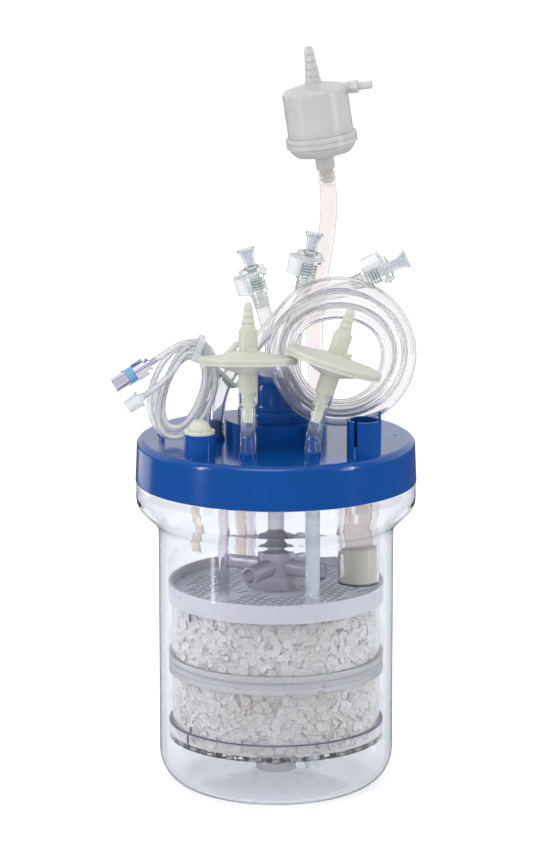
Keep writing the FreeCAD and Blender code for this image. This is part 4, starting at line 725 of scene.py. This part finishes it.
# Five green ribs around each coupling's barbed end.
for side, route in (("left", LEFT_ROUTE), ("middle", MIDDLE_ROUTE), ("right", LINE_END)):
    rings = [[(6.7, z), (7.35, z, 0.25), (7.35, z + 0.9, 0.25), (6.7, z + 0.9)]
             for z in (2.0, 4.2, 6.4, 8.6, 10.8)]
    lathed(f"{side}_connector_ribs", rings, "rib_green", 48, along_route(route),
           slot="connector_clear")


# ---------------------------------------------------------------------------- floor and light
FRONT_GREY = 0.12  # what gloss sees in front of the part, and in the floor
EVEN_LIGHT = 0.80  # the world's strength for light that spreads from a surface
FLOOR_GLOW = 0.42  # lifts the floor to white for the camera and through clear plastic
FLOOR_HALF = 9.0


def make_floor():
    """A pale floor, whitened where it is looked at, and grey where gloss mirrors it."""
    mesh = bpy.data.meshes.new("floor")
    far = FLOOR_HALF
    mesh.from_pydata([(-far, -far, 0), (far, -far, 0), (far, far, 0), (-far, far, 0)],
                     [], [(0, 1, 2, 3)])
    floor = bpy.data.objects.new("floor", mesh)
    scene.collection.objects.link(floor)
    n = Nodes("floor")
    n.set(Base_Color=(0.86, 0.86, 0.87, 1), Roughness=0.7, Specular_IOR_Level=0.0)
    path = n.add("LightPath")
    seen = n.add("Math", operation="MAXIMUM")
    n.join(path.outputs["Is Camera Ray"], seen.inputs[0])
    n.join(path.outputs["Is Transmission Ray"], seen.inputs[1])
    glow = n.add("Emission", Color=(1, 1, 1, 1))
    n.join(n.span(seen.outputs[0], 0.0, FLOOR_GLOW, 0.0, 1.0), glow.inputs["Strength"])
    lit = n.add("AddShader")
    n.join(n.shader.outputs[0], lit.inputs[0])
    n.join(glow.outputs[0], lit.inputs[1])
    dim = n.add("Emission", Color=(1, 1, 1, 1), Strength=FRONT_GREY)
    mirrored = n.add("Math", operation="SUBTRACT", use_clamp=True)
    n.join(path.outputs["Is Glossy Ray"], mirrored.inputs[0])
    n.join(path.outputs["Is Transmission Ray"], mirrored.inputs[1])
    mix = n.add("MixShader")
    n.join(mirrored.outputs[0], mix.inputs[0])
    n.join(lit.outputs[0], mix.inputs[1])
    n.join(dim.outputs[0], mix.inputs[2])
    n.join(mix.outputs[0], n.output.inputs["Surface"])
    mesh.materials.append(n.material)


def make_world():
    """White behind the part and overhead, and darker in front, as gloss and clear plastic see
    it in a studio. The camera sees white, and light that spreads from a surface is even."""
    world = bpy.data.worlds.new("studio")
    scene.world = world
    world.use_nodes = True
    tree = world.node_tree

    def add(kind, **values):
        node = tree.nodes.new("ShaderNode" + kind)
        for key, value in values.items():
            node.inputs[key].default_value = value
        return node

    def fade(direction, start, end, low, high):
        """A soft step along one direction of the surroundings."""
        node = add("MapRange", **{"From Min": start, "From Max": end, "To Min": low,
                                  "To Max": high})
        node.interpolation_type = "SMOOTHSTEP"
        tree.links.new(direction, node.inputs["Value"])
        return node.outputs[0]

    def combined(operation, one, two):
        node = add("Math")
        node.operation = operation
        node.use_clamp = True
        tree.links.new(one, node.inputs[0])
        tree.links.new(two, node.inputs[1])
        return node.outputs[0]

    def chosen(share, one, two):
        node = add("MixShader")
        for source, into in zip((share, one, two), node.inputs):
            tree.links.new(source, into)
        return node.outputs[0]

    place = add("SeparateXYZ")
    tree.links.new(add("TexCoord").outputs["Generated"], place.inputs[0])
    back = fade(place.outputs["Y"], -0.25, 0.5, FRONT_GREY, 1.0)
    above = fade(place.outputs["Z"], 0.5, 1.0, 0.0, 0.7)
    studio = add("Background", Color=(1, 1, 1, 1))
    tree.links.new(combined("MAXIMUM", back, above), studio.inputs["Strength"])
    white = add("Background", Color=(1, 1, 1, 1))
    even = tree.nodes["Background"]
    even.inputs["Color"].default_value = (0.97, 0.98, 1.0, 1)
    even.inputs["Strength"].default_value = EVEN_LIGHT
    path = add("LightPath").outputs
    sharp = combined("MAXIMUM", path["Is Glossy Ray"], path["Is Transmission Ray"])
    by_gloss = combined("SUBTRACT", sharp, path["Diffuse Depth"])
    indirect = chosen(by_gloss, even.outputs[0], studio.outputs[0])
    tree.links.new(chosen(path["Is Camera Ray"], indirect, white.outputs[0]),
                   tree.nodes["World Output"].inputs["Surface"])


def make_lamp(name, azimuth, height, distance, width, tall, power, aim=0.26):
    """An area lamp; azimuth is from the front, to the right when positive."""
    data = bpy.data.lights.new(name, "AREA")
    data.shape = "RECTANGLE"
    data.size = width
    data.size_y = tall
    data.energy = power
    lamp = bpy.data.objects.new(name, data)
    turn = math.radians(azimuth)
    lamp.location = (distance * math.sin(turn), -distance * math.cos(turn), height)
    lamp.rotation_euler = (Vector((0, 0, aim)) - lamp.location).to_track_quat(
        "-Z", "Y").to_euler()
    scene.collection.objects.link(lamp)


make_floor()
make_world()
make_lamp("left_strip", -62, 0.55, 1.4, 0.09, 0.9, 5)
make_lamp("right_strip", 64, 0.6, 1.4, 0.08, 0.8, 4)
make_lamp("left_streak", -60, 0.07, 0.5, 0.035, 0.10, 0.05, 0.1)
make_lamp("right_streak", 63, 0.09, 0.5, 0.028, 0.09, 0.04, 0.1)
make_lamp("lid_edge", -131, 0.145, 0.58, 0.30, 0.055, 0.07, 0.2)
make_lamp("top_box", -15, 1.7, 0.9, 0.9, 0.9, 7)
scene.view_settings.view_transform = "Standard"
# Light goes through many clear walls before it leaves the vessel.
scene.cycles.max_bounces = 28
scene.cycles.transmission_bounces = 26
scene.cycles.transparent_max_bounces = 16
